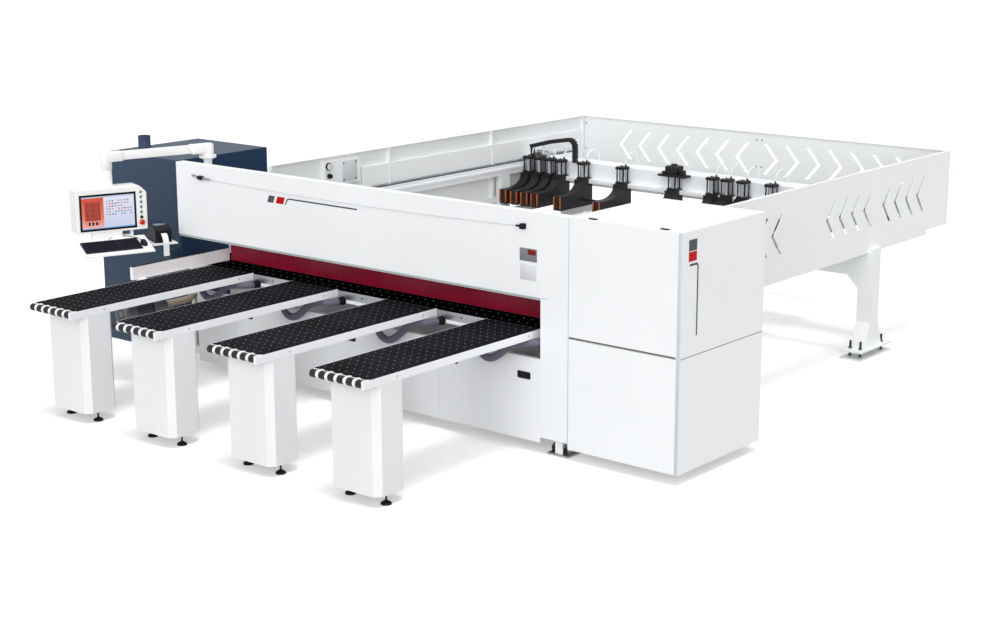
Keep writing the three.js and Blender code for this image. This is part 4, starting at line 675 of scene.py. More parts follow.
def piece(name, shape, finish, body, smooth_below=38):
    """Puts a shape into a mesh, in metres in the model's frame, and makes it ride on a body."""
    mesh = bpy.data.meshes.new(name)
    mesh.vertices.add(len(shape.points))
    mesh.vertices.foreach_set("co", metres(shape.points).ravel())
    mesh.loops.add(len(shape.corners))
    mesh.loops.foreach_set("vertex_index", shape.corners)
    mesh.polygons.add(len(shape.counts))
    mesh.polygons.foreach_set("loop_start", np.concatenate([[0], np.cumsum(shape.counts)[:-1]]))
    mesh.update(calc_edges=True)
    welded = bmesh.new()
    welded.from_mesh(mesh)
    bmesh.ops.remove_doubles(welded, verts=welded.verts, dist=0.00001)
    bmesh.ops.recalc_face_normals(welded, faces=welded.faces)
    welded.to_mesh(mesh)
    welded.free()
    mesh.shade_smooth()
    mesh.set_sharp_from_angle(angle=math.radians(smooth_below))
    mesh.materials.append(finish)
    made = bpy.data.objects.new(name, mesh)
    bpy.context.scene.collection.objects.link(made)
    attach(made, body)
    return made


def by_monitor(shape):
    """From the console's own axes, across, inward and up from its swivel, to the machine's places."""
    axes = np.array([MONITOR_ACROSS, MONITOR_INWARD, (0.0, 0.0, 1.0)])
    return shape.reshaped(shape.points @ axes + (swivel[0], swivel[1], 0.0))


# %% [markdown]
# Hoses and cables come before the rest. A grey ribbed air hose leaves the front beam beside each table: it
# bends to the left in front of the beam, sags, and climbs to the table's underside. Its ribs are a fast
# wave in the tube's radius. Each one's length is measured along its own path and printed.

# %% Air hoses to the tables
TABLE_RIGHTS = [591, 1653, 2791, 3889]
TABLE_WIDTH = 556
HOSE_RADIUS = 29
HOSE_BEND = 118
HOSE_TOP = 888
HOSE_RIB_PITCH = 15
HOSE_LIFTS = [36, 24, 0, 30]
HOSE_EXIT = 60
HOSE_END = (-514, -78, 922)
CUFF_POINTS = 26
hose_turn = np.linspace(0, math.pi / 2, 7)
hose_start = [(HOSE_EXIT, 112, HOSE_TOP)] + [
    (HOSE_EXIT - HOSE_BEND + HOSE_BEND * math.cos(turn), 66 - HOSE_BEND * math.sin(turn), HOSE_TOP)
    for turn in hose_turn]
hose_sag = [(-190, -58, 822), (-300, -64, 716), (-390, -70, 668), (-478, -76, 712), (-512, -78, 800)]


def measured(path):
    return float(np.linalg.norm(np.diff(path, axis=0), axis=1).sum())


def ribbed(path, pitch):
    """A wave from -1 to 1 with one crest in each pitch of the path: cos(2 pi s / pitch)."""
    return np.cos(2 * math.pi * np.linspace(0, measured(path) / pitch, len(path)))


def hose_line(right, lift):
    knots = np.array([*hose_start, *hose_sag, HOSE_END], float) + (right, 0, 0)
    knots[len(hose_start):-1, 2] += lift
    return smooth_path(knots, 420, rounds=900)


def air_hose(number, right, lift):
    centre = hose_line(right, lift)
    ribs = HOSE_RADIUS + 2.2 * ribbed(centre, HOSE_RIB_PITCH)
    made = piece(f"air_hose_{number}", tube(centre, ribs, (0.0, 0.4, 1.0)), hose_grey, "machine")
    return measured(centre)


hoses = list(zip(TABLE_RIGHTS, HOSE_LIFTS))
hose_lengths = [air_hose(number, right, lift) for number, (right, lift) in enumerate(hoses, 1)]
print("air hoses:", [round(length) for length in hose_lengths], "mm")


def hose_fitting(right, lift):
    """A short cuff over the hose's first part, with a flange on the beam, and a collar under the table."""
    line = hose_line(right, lift)
    collar = turned([(0, 0), (32, 0), (34, 2), (34, 16), (30, 22), (0, 22)])
    flange = turned([(0, 0), (38, 0), (38, 5), (34, 8), (0, 8)]).turned_to("y")
    return joined([tube(line[:CUFF_POINTS], 32, (0.0, 0.4, 1.0), 24),
                   collar.moved(right + HOSE_END[0], HOSE_END[1], 897),
                   flange.moved(right + HOSE_EXIT, 104, HOSE_TOP)])


piece("hose_fittings", joined([hose_fitting(*hose) for hose in hoses]), plastic_black, "machine")

# %% [markdown]
# A pull wire runs along the whole beam as an emergency stop: from a spring and turnbuckle at the left to a
# black rope switch at the right. It is held at both ends, so it sags by a few centimetres in the middle.

# %% Pull wire
WIRE_Y = -24
WIRE_LEFT, WIRE_RIGHT = 250, 3756
WIRE_SAG = 27
wire_reach = np.linspace(0, 1, 60)
wire_x = WIRE_LEFT + (WIRE_RIGHT - WIRE_LEFT) * wire_reach
wire_z = 1799 + 5 * wire_reach - 4 * WIRE_SAG * wire_reach * (1 - wire_reach)
wire_path = np.stack([wire_x, np.full_like(wire_x, WIRE_Y), wire_z], -1)
pull_wire = piece("pull_wire", tube(wire_path, 2.6, (0.0, 1.0, 0.0), 8), wire_pale, "machine")
print("pull wire:", round(measured(wire_path)), "mm")

# %% [markdown]
# A milky air tube leaves each gripper's cylinder and loops back to the pusher beam. It stands up from a
# stiff fitting, so the loop is a free arch. The arches differ a little in height, as by hand.

# %% Air tubes of the grippers
GRIPPER_LEFTS = [48, 198, 341, 483, 793, 1307, 1966, 2440, 2615, 2806, 3133]
GRIPPER_WIDTH = 100
CYLINDER_Y = 4712
CAP_TOP = 1466
PUSHER_TOP = 1440
TUBE_RADIUS = 6
TOOL_GRIPPER = 7
ARCH_KNOTS = [(30, 18, 1494), (30, 20, 1530), (36, 56, 1586), (48, 118, 1608), (58, 176, 1574),
              (62, 198, 1510), (62, 200, 1452)]


def air_tube(number, left):
    lift = 8 * math.sin(2.3 * number)
    knots = np.array(ARCH_KNOTS, float) + (left + GRIPPER_WIDTH / 2, CYLINDER_Y, 0)
    knots[2:5, 2] += lift
    if left < 600:
        knots[2:-2, 2] -= 14
    if number == TOOL_GRIPPER:
        knots[:4, 2] += 76
        knots[4, 2] += 44
    centre = smooth_path(knots, 48, rounds=10)
    made = piece(f"air_tube_{number}", tube(centre, TUBE_RADIUS, (1.0, 0.0, 0.0), 12), tube_milk, "pusher")
    return measured(centre)


tube_lengths = [air_tube(number, left) for number, left in enumerate(GRIPPER_LEFTS, 1)]
print("air tubes:", [round(length) for length in tube_lengths], "mm")

# %% [markdown]
# Two thin leads lie on the keyboard tray: one from the keyboard and one from the mouse, both going up into
# the bracket under the screen.

# %% Keyboard and mouse leads
TRAY_TOP = 1292
TRAY_BACK = -84
TRAY_REACH = 296
TRAY_DROP = 94


def on_tray(across, share, above=0.0):
    """A point on the sloping tray: share 0 is its back edge and 1 its front edge."""
    return (across, TRAY_BACK - share * TRAY_REACH, TRAY_TOP - share * TRAY_DROP + above)


def lead(name, knots):
    path = by_monitor(Shape(smooth_path(knots, 60, rounds=16), [], [])).points
    made = piece(name, tube(path, 2.5, (0.3, 0.2, 1.0), 8), plastic_black, "monitor")
    return measured(path)


lead_lengths = [
    lead("keyboard_lead", [on_tray(-60, 0.215, 12), on_tray(-52, 0.14, 9), on_tray(-20, 0.05, 5),
                           on_tray(20, 0.02, 4), (60, -78, 1300), (76, -88, 1318), (78, -99, 1330)]),
    lead("mouse_lead", [on_tray(226, 0.36, 12), on_tray(222, 0.26, 6), on_tray(200, 0.14, 4),
                        on_tray(150, 0.06, 4), (100, -82, 1300), (80, -94, 1309), (70, -99, 1316)]),
]
print("leads:", [round(length) for length in lead_lengths], "mm")

# %% [markdown]
# The solids of the saw are right in shape, so most of them only take a finish. This table says which
# finish each of them has; a solid that it doesn't name is white.

# %% Finishes of the solids
finish_of = {name: white_coat for name in frame["nodes"]}
for finish, names in [
        (deck_black, [f"air_table_{number}_top" for number in range(1, 5)]),
        (roller_black, [f"air_table_{number}_rollers" for number in range(1, 5)]),
        (leg_coat, [f"air_table_{number}_leg" for number in range(1, 5)]),
        (plastic_grey, [f"panel_button_{number}" for number in range(1, 6)]),
        (main_black, ["main_table"]),
        (fence_pale, ["rip_fence"]),
        (beam_coat, ["beam_cover"]),
        (steel, ["pressure_beam", "saw_carriage"]),
        (curtain_red, ["safety_curtain"]),
        (motor_grey, ["saw_unit"]),
        (blade_steel, ["main_blade"]),
        (scorer_steel, ["scoring_blade"]),
        (slate_coat, ["electrical_cabinet", "electrical_cabinet_door"]),
        (console_white, ["console_post", "console_arm", "monitor_housing", "keyboard_tray"]),
        (screen_picture, ["monitor_screen"]),
        (plastic_black, ["selector_knob", "keyboard", "label_printer", "regulator_knob"]),
        (stop_red, ["emergency_stop"]),
        (rail_white, ["pusher_rail_left", "pusher_rail_right"]),
        (cast_black, ["gripper_arms", "gripper_jaws"]),
        (guard_coat, ["guard_left", "guard_rear", "guard_right", "rear_frame"])]:
    finish_of.update(dict.fromkeys(names, finish))
for name, node in frame["nodes"].items():
    node.data.materials.clear()
    node.data.materials.append(finish_of[name])
print(len(finish_of), "solids have their finish")

# %% [markdown]
# Air nozzles are pale beads in the black deck, on a grid of 69.5 by 88 mm on the tables, and in two rows
# along the main table. There are hundreds, so each bead has only a few dozen faces, and one array sum
# places them all.

# %% Air nozzles
NOZZLE_ACROSS, NOZZLE_ALONG = 69.5, 88
bead = turned([(0, -1.5), (5.4, -1.5), (5.4, 0.3), (4.2, 1.0), (2.2, 1.4), (0, 1.5)], 10)
columns = -91 - NOZZLE_ACROSS * np.arange(7)
rows = 76 - NOZZLE_ALONG * np.arange(22)
grid = np.stack(np.meshgrid(columns, rows, [DECK_TOP], indexing="ij"), -1).reshape(-1, 3)
table_beads = np.vstack([grid + (right, 0, 0) for right in TABLE_RIGHTS])
main_rows = [(-180, 47, 176), (-136, 46, 296)]
main_beads = np.array([(x + NOZZLE_ALONG * step, y, DECK_TOP)
                       for x, count, y in main_rows for step in range(count)])
nozzle_places = np.vstack([table_beads, main_beads])
nozzle_bead = moulded("nozzle_bead", srgb(132, 131, 130), roughness=0.5, specular=0.2)
piece("air_nozzles", bead.repeated(nozzle_places), nozzle_bead, "machine")
print(len(nozzle_places), "nozzles")

# %% [markdown]
# The rollers at the tables' front ends are turned plastic with rounded rims and a groove near each end. A
# row of smooth ones on their axle replaces each row of the solids. The axle ends inside the right rail.

# %% Front rollers
ROLLER_Y = -1871.3
ROLLER_Z = 949
TAB_WIDTH = 8
TOOTH_WIDTH = 26
ROLLER_PITCH = (TABLE_WIDTH - TAB_WIDTH) / 6
ROLLER_LENGTH = ROLLER_PITCH - TOOTH_WIDTH - 4
AXLE_LENGTH = TABLE_WIDTH - 4.6
roller_end = [(8, 0), (27, 0), (29.1, 1), (30, 3), (30, 14), (28.9, 15), (28.9, 17), (30, 18)]
roller_profile = roller_end + [(radius, ROLLER_LENGTH - height) for radius, height in roller_end[::-1]]
roller = turned(roller_profile, 28).turned_to("x")
axle = cylinder(8, 0, AXLE_LENGTH, 16).turned_to("x")
for number, right in enumerate(TABLE_RIGHTS, 1):
    left = right - TABLE_WIDTH
    starts = [(left + TAB_WIDTH + i * ROLLER_PITCH + 2, ROLLER_Y, ROLLER_Z) for i in range(6)]
    row_of_rollers = roller.repeated(starts) + axle.moved(left, ROLLER_Y, ROLLER_Z)
    made = piece(f"front_rollers_{number}", row_of_rollers, roller_black, f"roller_row_{number}")
    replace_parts(made, f"air_table_{number}_rollers")

# %% [markdown]
# Small hardware makes the tables believable: dome feet on threaded studs, button heads where the rails are
# bolted, and a steel strip with a hole where each table meets the saw table. The hole is a black disc on the
# strip: painted shade.


# %% Screws, nuts and feet
def button_head(radius, height):
    """A domed screw head with a small socket in its middle."""
    return turned([(0, 0), (radius, 0), (radius * 0.95, height * 0.45), (radius * 0.7, height * 0.9),
                   (radius * 0.42, height), (radius * 0.38, height * 0.5), (0, height * 0.45)], 14)


def hex_nut(radius, height):
    return turned([(0, 0), (radius * 0.93, 0), (radius, height * 0.12), (radius, height * 0.88),
                   (radius * 0.93, height), (0, height)], 6)


def threaded(radius, low, high, pitch=2.5):
    """A stud whose radius goes up and down once for each thread."""
    height = np.linspace(low, high, int(2 * (high - low) / pitch) + 1)
    wave = radius - 0.6 * (np.arange(len(height)) % 2)
    body = np.stack([wave, height], -1)
    return turned(np.vstack([[(0, low)], body, [(0, high)]]), 12)


LEG_FOOT_Y = -1642.3
foot_dome = turned([(0, 0.1), (40, 0.1), (41, 3), (40.6, 11), (36, 17), (27, 22), (17, 26), (12, 33),
                    (0, 33)])
foot_places = [(right + x, LEG_FOOT_Y, 0) for right in TABLE_RIGHTS for x in (-410, -50)]
piece("foot_domes", foot_dome.repeated(foot_places), plastic_black, "machine")
foot_stud = threaded(7.8, 30, 84) + hex_nut(14, 9).moved(z=70)
piece("foot_studs", foot_stud.repeated(foot_places), cast_black, "machine")

head_places = [(right, y, 952) for right in TABLE_RIGHTS for y in (-60, -1560)]
piece("table_screws", button_head(7, 4).turned_to("x").repeated(head_places), zinc, "machine")

STRIP_FRONT = 108
strip_lefts = [-228, *TABLE_RIGHTS]
strip_sides = [(left + 3, right - TABLE_WIDTH - 3) for left, right in zip(strip_lefts, TABLE_RIGHTS)]
strips = [rounded_box(sides, (STRIP_FRONT, STRIP_FRONT + 4.6), (902, 972), 1.0) for sides in strip_sides]
piece("joint_strips", joined(strips), steel, "machine")
# Each hole is drawn as a black disc: painted shade.
hole_shade_disc = turned([(0, 0), (8, 0), (8, 1.2), (6, 1.6), (0, 1.6)], 20).turned_to("y")
hole_places = [(sum(sides) / 2, STRIP_FRONT - 1.4, 938) for sides in strip_sides]
piece("joint_hole_shade", hole_shade_disc.repeated(hole_places), plastic_black, "machine")

# %% [markdown]
# The front covers have black plastic grips. The one at the right is sunk into the sheet, and the others
# are shallow dishes with a raised rim.


# %% Grips in the covers
def grip(x0, x1, z0, z1, front, sunk):
    """A rim round an open dish: outline rings that go out, forward, in and back."""
    width, height = x1 - x0, z1 - z0
    levels = [(6, 0.2), (7, -2.0), (3, -3.2), (-1, -2.4), (-3, sunk), (-14, sunk)]
    rings = []
    for grow, depth in levels:
        flat = rounded_outline(width + 2 * grow, height + 2 * grow, max(6 + grow, 1.5))
        rings.append(np.insert(flat, 1, depth, axis=1))
    return lofted(rings).moved((x0 + x1) / 2, front, (z0 + z1) / 2)


grips = [grip(right - 118, right, 590, 628, 0, -1.0) for right in (680, 1958, 3110)]
sunk_grip = grip(3741, 3859, 589, 635, 0, 22)
piece("cover_grips", joined([*grips, sunk_grip]), plastic_black, "machine")

# %% [markdown]
# The beam carries flat trim in grey and red, leaning forward, with a thin line that turns a corner. The
# cabinet's side repeats it upright. Words and plates with print are left off; their places stay plain.

# %% Trim on the beam and the cabinet
TRIM_THICK = 0.8
CABINET_RIGHT = 5260


def on_beam(outline):
    """An outline in X and Z as thin film on the beam's front face."""
    return plate(outline, -TRIM_THICK, 0, 0.2).reordered(0, 2, 1)


def on_cabinet_side(outline):
    """An outline in Y and Z as thin film on the cabinet's right face."""
    return plate(outline, CABINET_RIGHT, CABINET_RIGHT + TRIM_THICK, 0.2).reordered(2, 0, 1)


def rectangle(y0, y1, z0, z1):
    return [(y0, z0), (y1, z0), (y1, z1), (y0, z1)]


def leaning(x0, x1, z0, z1, lean=24):
    return [(x0, z0), (x1 - lean, z0), (x1, z1), (x0 + lean, z1)]


def line_round_corner(points, thick, radius=26, steps=6):
    """A band of even width along an L: its centre line is rounded at the corner, then moved to both sides."""
    start, corner, end = (np.array(p, float) for p in points)
    to_start = (start - corner) / np.linalg.norm(start - corner)
    to_end = (end - corner) / np.linalg.norm(end - corner)
    share = np.linspace(0, 1, steps)[:, None]
    bend = corner + radius * ((1 - share) ** 2 * to_start + share ** 2 * to_end)
    centre = np.vstack([start, bend, end])
    run = np.gradient(centre, axis=0)
    across = np.stack([-run[:, 1], run[:, 0]], -1) / np.linalg.norm(run, axis=1, keepdims=True)
    return np.vstack([centre - across * thick / 2, (centre + across * thick / 2)[::-1]])


piece("trim_grey", on_beam(leaning(925, 1023, 1677, 1739)) + on_cabinet_side(rectangle(88, 194, 1772, 1856)),
      trim_grey, "machine")
piece("trim_red", on_beam(leaning(1030, 1148, 1677, 1739)) + on_cabinet_side(rectangle(88, 194, 1694, 1766)),
      trim_red, "machine")
piece("trim_line", on_beam(line_round_corner([(1152, 1676), (1176, 1731), (2011, 1731)], 13))
      + on_cabinet_side(line_round_corner([(104, 1668), (212, 1668), (212, 1124)], 17)), trim_grey, "machine")

plate_grey = coated("plate_grey", srgb(122, 124, 128), roughness=0.35)
signal_red = moulded("signal_red", srgb(120, 20, 22), roughness=0.4, specular=0.2)
status = rounded_box((3758, 3927), (-4, 0), (1530, 1632), 1.2)
blank = rounded_box((3762, 3924), (-2.4, 0), (1380, 1506), 1.0)
piece("status_plate", status, plate_grey, "machine")
piece("status_window", rounded_box((3840, 3918), (-6.4, -3), (1584, 1624), 1.5), signal_red, "machine")
piece("blank_plate", blank, coated("plate_pale", srgb(214, 216, 219), roughness=0.35), "machine")

# %% [markdown]
# At the wire's left end a coil spring and a turnbuckle keep it tight, and at its right end sits the rope
# switch: a black cast box with a domed lid and a stub towards the wire.

# %% Turnbuckle and rope switch
SPRING_TURNS = 9
spring_angle = np.linspace(0, 2 * math.pi * SPRING_TURNS, 240)
spring_reach = np.linspace(0, 1, 240)
spring = np.stack([20 + 80 * spring_reach, WIRE_Y + 10 * np.cos(spring_angle),
                   1814 - 7 * spring_reach + 10 * np.sin(spring_angle)], -1)
anchor = turned([(0, 0), (13, 0), (13, 3), (5, 5), (5, 24), (9, 25), (9, 31), (0, 31)]).turned_to("y")
wire_rod = tube(smooth_path([(-15, WIRE_Y, 1820), (20, WIRE_Y, 1814), (118, WIRE_Y, 1807),
                             (250, WIRE_Y, 1799)], 30, 2), 3.2, (0.0, 1.0, 0.0), 8)
turnbuckle = joined([rounded_box(x, (WIRE_Y + near, WIRE_Y + far), z, soft) for x, near, far, z, soft in [
    ((122, 186), -11, -6, (1796, 1812), 2), ((122, 186), 6, 11, (1796, 1812), 2),
    ((116, 128), -11, 11, (1796, 1813), 3), ((180, 192), -11, 11, (1793, 1810), 3)]])
piece("wire_tightener", joined([tube(spring, 2.0, (0.2, 0.1, 1.0), 8), wire_rod, turnbuckle,
                                anchor.moved(-15, -31, 1820)]), zinc, "machine")
piece("spring_cover", rounded_box((52, 112), (-42, -6), (1790, 1826), 9, 5), plastic_black, "machine")
switch_body = rounded_box((3778, 3822), (-38, 0), (1782, 1826), 6, 4)
switch_lid = turned([(0, 0), (16, 0), (18, 2), (16, 7), (10, 10), (0, 11)]).turned_to("y")
switch_stub = turned([(0, 0), (8, 0), (8, 36), (5, 42), (0, 42)], 20).turned_to("x")
rope_switch = [switch_body, switch_lid.moved(3800, -48, 1804), switch_stub.moved(3738, WIRE_Y, 1804)]
piece("rope_switch", joined(rope_switch), plastic_black, "machine")

# %% [markdown]
# The console hangs from a swinging arm. Its solids are prisms with few sides, so the arm, the post and the
# housing are replaced by rounded ones: cast elbows with soft edges, a square tube between them, and a
# monitor shell whose top right corner is cut off as on the real one.

# %% Arm and post
POST = (-229, 345)
ARM_REACH = 990
arm_vector = swivel[:2] - np.array(POST)
arm_turn = math.degrees(math.atan2(arm_vector[0], -arm_vector[1]))
hub = turned([(0, 1946), (56, 1946), (58, 1950), (58, 2030), (54, 2046), (44, 2054), (0, 2055)], 40)
hub_sleeve = rounded_box((-50, 50), (-170, 20), (1966, 2053), 10, 4)
elbow = turned([(0, 1905.5), (49, 1905.5), (51, 1909), (51, 2020), (48, 2040), (38, 2054), (0, 2055)], 40)
elbow_sleeve = rounded_box((-49, 49), (-ARM_REACH - 10, -ARM_REACH + 150), (1966, 2053), 10, 4)
square_tube = rounded_box((-39, 39), (-ARM_REACH + 120, -140), (1976, 2048), 5, 4)
seam = rounded_box((-40.5, 40.5), (-ARM_REACH + 140, -160), (2009, 2013), 1.0)
cap_screws = button_head(6, 4).repeated(
    [(x, y, 2052.2) for x in (-30, 30) for y in (-150, -60, -ARM_REACH + 60, -ARM_REACH + 130)])
arm = joined([hub, hub_sleeve, elbow.moved(y=-ARM_REACH), elbow_sleeve, square_tube, seam, cap_screws])
arm = arm.rotated(arm_turn).moved(*POST)
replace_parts(piece("swing_arm", arm, console_white, "arm"), "console_arm")
post_column = turned([(0, 1700.3), (62, 1700.3), (62, 1710), (42, 1716), (38, 1722), (38, 1900), (46, 1908),
                      (46, 1922), (79, 1922), (80, 1924), (80, 1943), (78, 1945), (0, 1945)], 40)
post_nuts = hex_nut(9, 8).repeated([(52 * math.cos(a), 52 * math.sin(a), 1710) for a in (0.5, 2.1, 3.7, 5.2)])
post = joined([post_column, post_nuts])
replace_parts(piece("arm_post", post.moved(*POST), console_white, "machine"), "console_post")


# %% Monitor shell
MONITOR_WIDTH = 650
MONITOR_DEPTH = 200
MONITOR_TOP = 1745
MONITOR_BOTTOM = 1346
half_width = MONITOR_WIDTH / 2
shell_corners = [(half_width, MONITOR_BOTTOM), (half_width, MONITOR_TOP - 62), (half_width - 62, MONITOR_TOP),
                 (-half_width, MONITOR_TOP), (-half_width, MONITOR_BOTTOM)]


def rounded_corners(corners, radius, steps=5):
    """A closed outline; a short curve from a radius before each corner to one after it replaces the corner."""
    corners = np.asarray(corners, float)
    before = np.roll(corners, 1, axis=0) - corners
    after = np.roll(corners, -1, axis=0) - corners
    before /= np.linalg.norm(before, axis=1, keepdims=True)
    after /= np.linalg.norm(after, axis=1, keepdims=True)
    share = np.linspace(0, 1, steps)[None, :, None]
    bends = corners[:, None] + radius * ((1 - share) ** 2 * before[:, None] + share ** 2 * after[:, None])
    return bends.reshape(-1, 2)


def standing(flat, y_front, thick, edge):
    """An outline in X and Z, carried back along Y from its front face."""
    return plate(flat, y_front, y_front + thick, edge).reordered(0, 2, 1)


shell = standing(rounded_corners(shell_corners, 16), -MONITOR_DEPTH / 2, MONITOR_DEPTH, 5)
neck = turned([(0, 1735), (58, 1738), (58, 1750), (50, 1756), (47, 1762), (47, 1830), (49, 1832), (49, 1836),
               (46, 1838), (46, 1898), (49, 1901), (49, 1904.6), (0, 1904.6)], 40)
back_panel = rounded_box((-260, 220), (MONITOR_DEPTH / 2 - 2, MONITOR_DEPTH / 2 + 6), (1390, 1690), 3)
vents = rounded_box((-130, 90), (MONITOR_DEPTH / 2 + 5, MONITOR_DEPTH / 2 + 8), (0, 5), 1.4).repeated(
    [(0, 0, z) for z in range(1450, 1560, 16)])
housing = by_monitor(joined([shell, neck, back_panel, vents]))
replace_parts(piece("monitor_shell", housing, console_white, "monitor"), "monitor_housing")
BEZEL = 9
bezel = rounded_box((SCREEN_LEFT - BEZEL, SCREEN_LEFT + SCREEN_WIDTH + BEZEL), (-100.6, -97),
                    (SCREEN_TOP - SCREEN_HEIGHT - BEZEL, SCREEN_TOP + BEZEL), 1.5)
piece("screen_surround", by_monitor(bezel), plastic_black, "monitor")

# %% [markdown]
# A button is a turned cap in a metal collar. The collar stays on the housing, and the cap rides on its own
# body, because it is pressed. The stop is a red mushroom with a stepped skirt, the selector a black knob
# with a bar.

# %% Buttons, selector and stop
BUTTON_X = 270
BUTTON_TOP = 1689
BUTTON_PITCH = 46
SELECTOR_Z = 1459
STOP_Z = 1412.7
PANEL_FRONT = -100


def at_panel(shape, z):
    """A turned shape whose height points out of the panel, put at a control's place."""
    return by_monitor(shape.turned_to("y").mirrored_y().moved(BUTTON_X, PANEL_FRONT, z))


button_cap = turned([(0, -4), (10.6, -4), (10.6, 5.2), (10, 6.4), (8.4, 7), (3.6, 6.4), (0, 6.2)], 28)
collar_ring = turned([(11.2, -1), (15.4, -1), (15.4, 1.6), (14, 2.8), (11.6, 2.8), (11.2, 2)], 28)
button_heights = [BUTTON_TOP - index * BUTTON_PITCH for index in range(6)]
for number, z in enumerate(button_heights[:5], 1):
    cap = piece(f"button_cap_{number}", at_panel(button_cap, z), plastic_grey, f"button_{number}")
    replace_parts(cap, f"panel_button_{number}")
collars = joined([at_panel(collar_ring, z) for z in button_heights])
piece("button_collars", collars, aluminium, "monitor")
knob = turned([(0, -4), (10, -4), (14.4, 0.6), (14.8, 8), (13.6, 9.4), (0, 9.4)], 28)
knob_bar = rounded_box((BUTTON_X - 3.6, BUTTON_X + 3.6), (PANEL_FRONT - 18, PANEL_FRONT - 7),
                       (SELECTOR_Z - 14.4, SELECTOR_Z + 14.4), 1.6)
selector = at_panel(knob, SELECTOR_Z) + by_monitor(knob_bar)
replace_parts(piece("selector_handle", selector, plastic_black, "selector"), "selector_knob")
mushroom = turned([(0, -4), (12.6, -4), (12.6, 9), (14, 11.6), (21, 12.4), (23.6, 15), (24, 18.5),
                   (22.6, 22.4), (17, 25.2), (8, 26), (0, 26)], 36)
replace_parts(piece("stop_mushroom", at_panel(mushroom, STOP_Z), stop_red, "stop_button"), "emergency_stop")
skirt_ring = turned([(14, -1), (26, -1), (26, 1.6), (22, 4.6), (15.4, 5.4), (14, 4)], 36)
stop_yellow = moulded("stop_yellow", srgb(206, 178, 60), roughness=0.4)
piece("stop_skirt", at_panel(skirt_ring, STOP_Z), stop_yellow, "monitor")

# %% [markdown]
# The keyboard is a thin wedge with six rows of keys. A key is a small tapered box; the rows follow the
# tray's slope. The mouse beside it is half an egg: an ellipse whose height falls off to its rim.

# %% Keyboard and mouse
KEY_LEFT = -325
KEY_RIGHT = 195
KEY_PITCH, KEY_ROW = 20.4, 25.4
SPACE_FIRST, SPACE_LAST = 4, 8
board_low, board_high = on_tray(0, 0.84), on_tray(0, 0.22)
slope = (board_high[2] - board_low[2]) / (board_high[1] - board_low[1])


def sloped(shape):
    """Lifts each point by the tray's height where it stands."""
    points = shape.points.copy()
    points[:, 2] += board_low[2] + slope * (points[:, 1] - board_low[1])
    return shape.reshaped(points)


board = rounded_box((KEY_LEFT, KEY_RIGHT), (board_low[1], board_high[1]), (0.4, 15), 5, 4)
key = lofted([[(0, 0, 13), (18.4, 0, 13), (18.4, 19, 13), (0, 19, 13)],
              [(0.4, 0.4, 18), (18, 0.4, 18), (18, 18.6, 18), (0.4, 18.6, 18)],
              [(2, 2.4, 20), (16.4, 2.4, 20), (16.4, 17, 20), (2, 17, 20)]])
first_key = (KEY_LEFT + 12, board_low[1] + 16)
key_grid = [(first_key[0] + column * KEY_PITCH + (14 if column > 14 else 0), first_key[1] + row * KEY_ROW, 0)
            for row in range(6) for column in range(24)
            if row > 0 or not SPACE_FIRST <= column <= SPACE_LAST]
space_bar = rounded_box((SPACE_FIRST * KEY_PITCH, (SPACE_LAST + 1) * KEY_PITCH - 2), (0, 19), (13, 20), 2)
space_bar = space_bar.moved(*first_key)
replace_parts(piece("keyboard_body", by_monitor(sloped(board)), plastic_black, "monitor"), "keyboard")
piece("keyboard_keys", by_monitor(sloped(key.repeated(key_grid) + space_bar)), key_black, "monitor")

MOUSE = on_tray(232, 0.55)
egg_angle = np.linspace(0, 2 * math.pi, 28, endpoint=False)
egg_rise = np.linspace(0, math.pi / 2, 9)
egg_shrink = np.cos(egg_rise[:-1, None]) ** 0.55
egg_rings = np.stack([30 * egg_shrink * np.cos(egg_angle), 50 * egg_shrink * np.sin(egg_angle),
                      2 + 30 * np.sin(egg_rise[:-1, None]) + 0 * egg_angle], -1)
mouse = lofted([egg_rings[0] * (1, 1, 0), *egg_rings]).moved(MOUSE[0], MOUSE[1])
mouse.points[:, 2] += TRAY_TOP - (TRAY_BACK - mouse.points[:, 1]) / TRAY_REACH * TRAY_DROP + 0.3
piece("mouse", by_monitor(mouse), plastic_black, "monitor")

# %% [markdown]
# The label printer is a squat black box with a sloping brow, a slate key panel on its lid and an open
# mouth in front, out of which a strip of labels hangs over the shelf.

# %% Label printer
PRINTER_X = (372.5, 527.5)
PRINTER_Y = (-155, 60)
PRINTER_Z = (1212.3, 1362.3)


def printer_body():
    """The side outline, rounded, carried across."""
    (front, back), (low, high) = PRINTER_Y, PRINTER_Z
    side = [(front, low), (back, low), (back, high), (front + 60, high), (front, high - 34)]
    return plate(rounded_corners(side, 9), *PRINTER_X, 4).reordered(2, 0, 1)


printer_middle = sum(PRINTER_X) / 2
mouth_y = (PRINTER_Y[0] - 5, PRINTER_Y[0] + 2)
mouth = joined([rounded_box(x, mouth_y, z, 2) for x, z in [
    ((-40, 40), (1318, 1328)), ((-40, -34), (1226, 1320)), ((34, 40), (1226, 1320))]]).moved(printer_middle)
lid_seam = rounded_box((PRINTER_X[0] - 1.2, PRINTER_X[1] + 1.2), (PRINTER_Y[0] + 8, PRINTER_Y[1] + 1),
                       (1288, 1291), 1)
feet = turned([(0, 0), (8, 0), (7, 3), (0, 3)], 12).repeated(corner_places(64, 93, 1212, (450, -47)))
case = by_monitor(joined([printer_body(), mouth, lid_seam, feet]))
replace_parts(piece("printer_case", case, plastic_black, "monitor"), "label_printer")
panel_blue = moulded("panel_blue", srgb(126, 142, 172), roughness=0.3, specular=0.5)
key_panel = rounded_box((394, 478), (-84, 8), (1361, 1364.6), 1.5)
piece("printer_panel", by_monitor(key_panel), panel_blue, "monitor")
printer_key = rounded_box((488, 504), (-70, -52), (1361, 1366), 2)
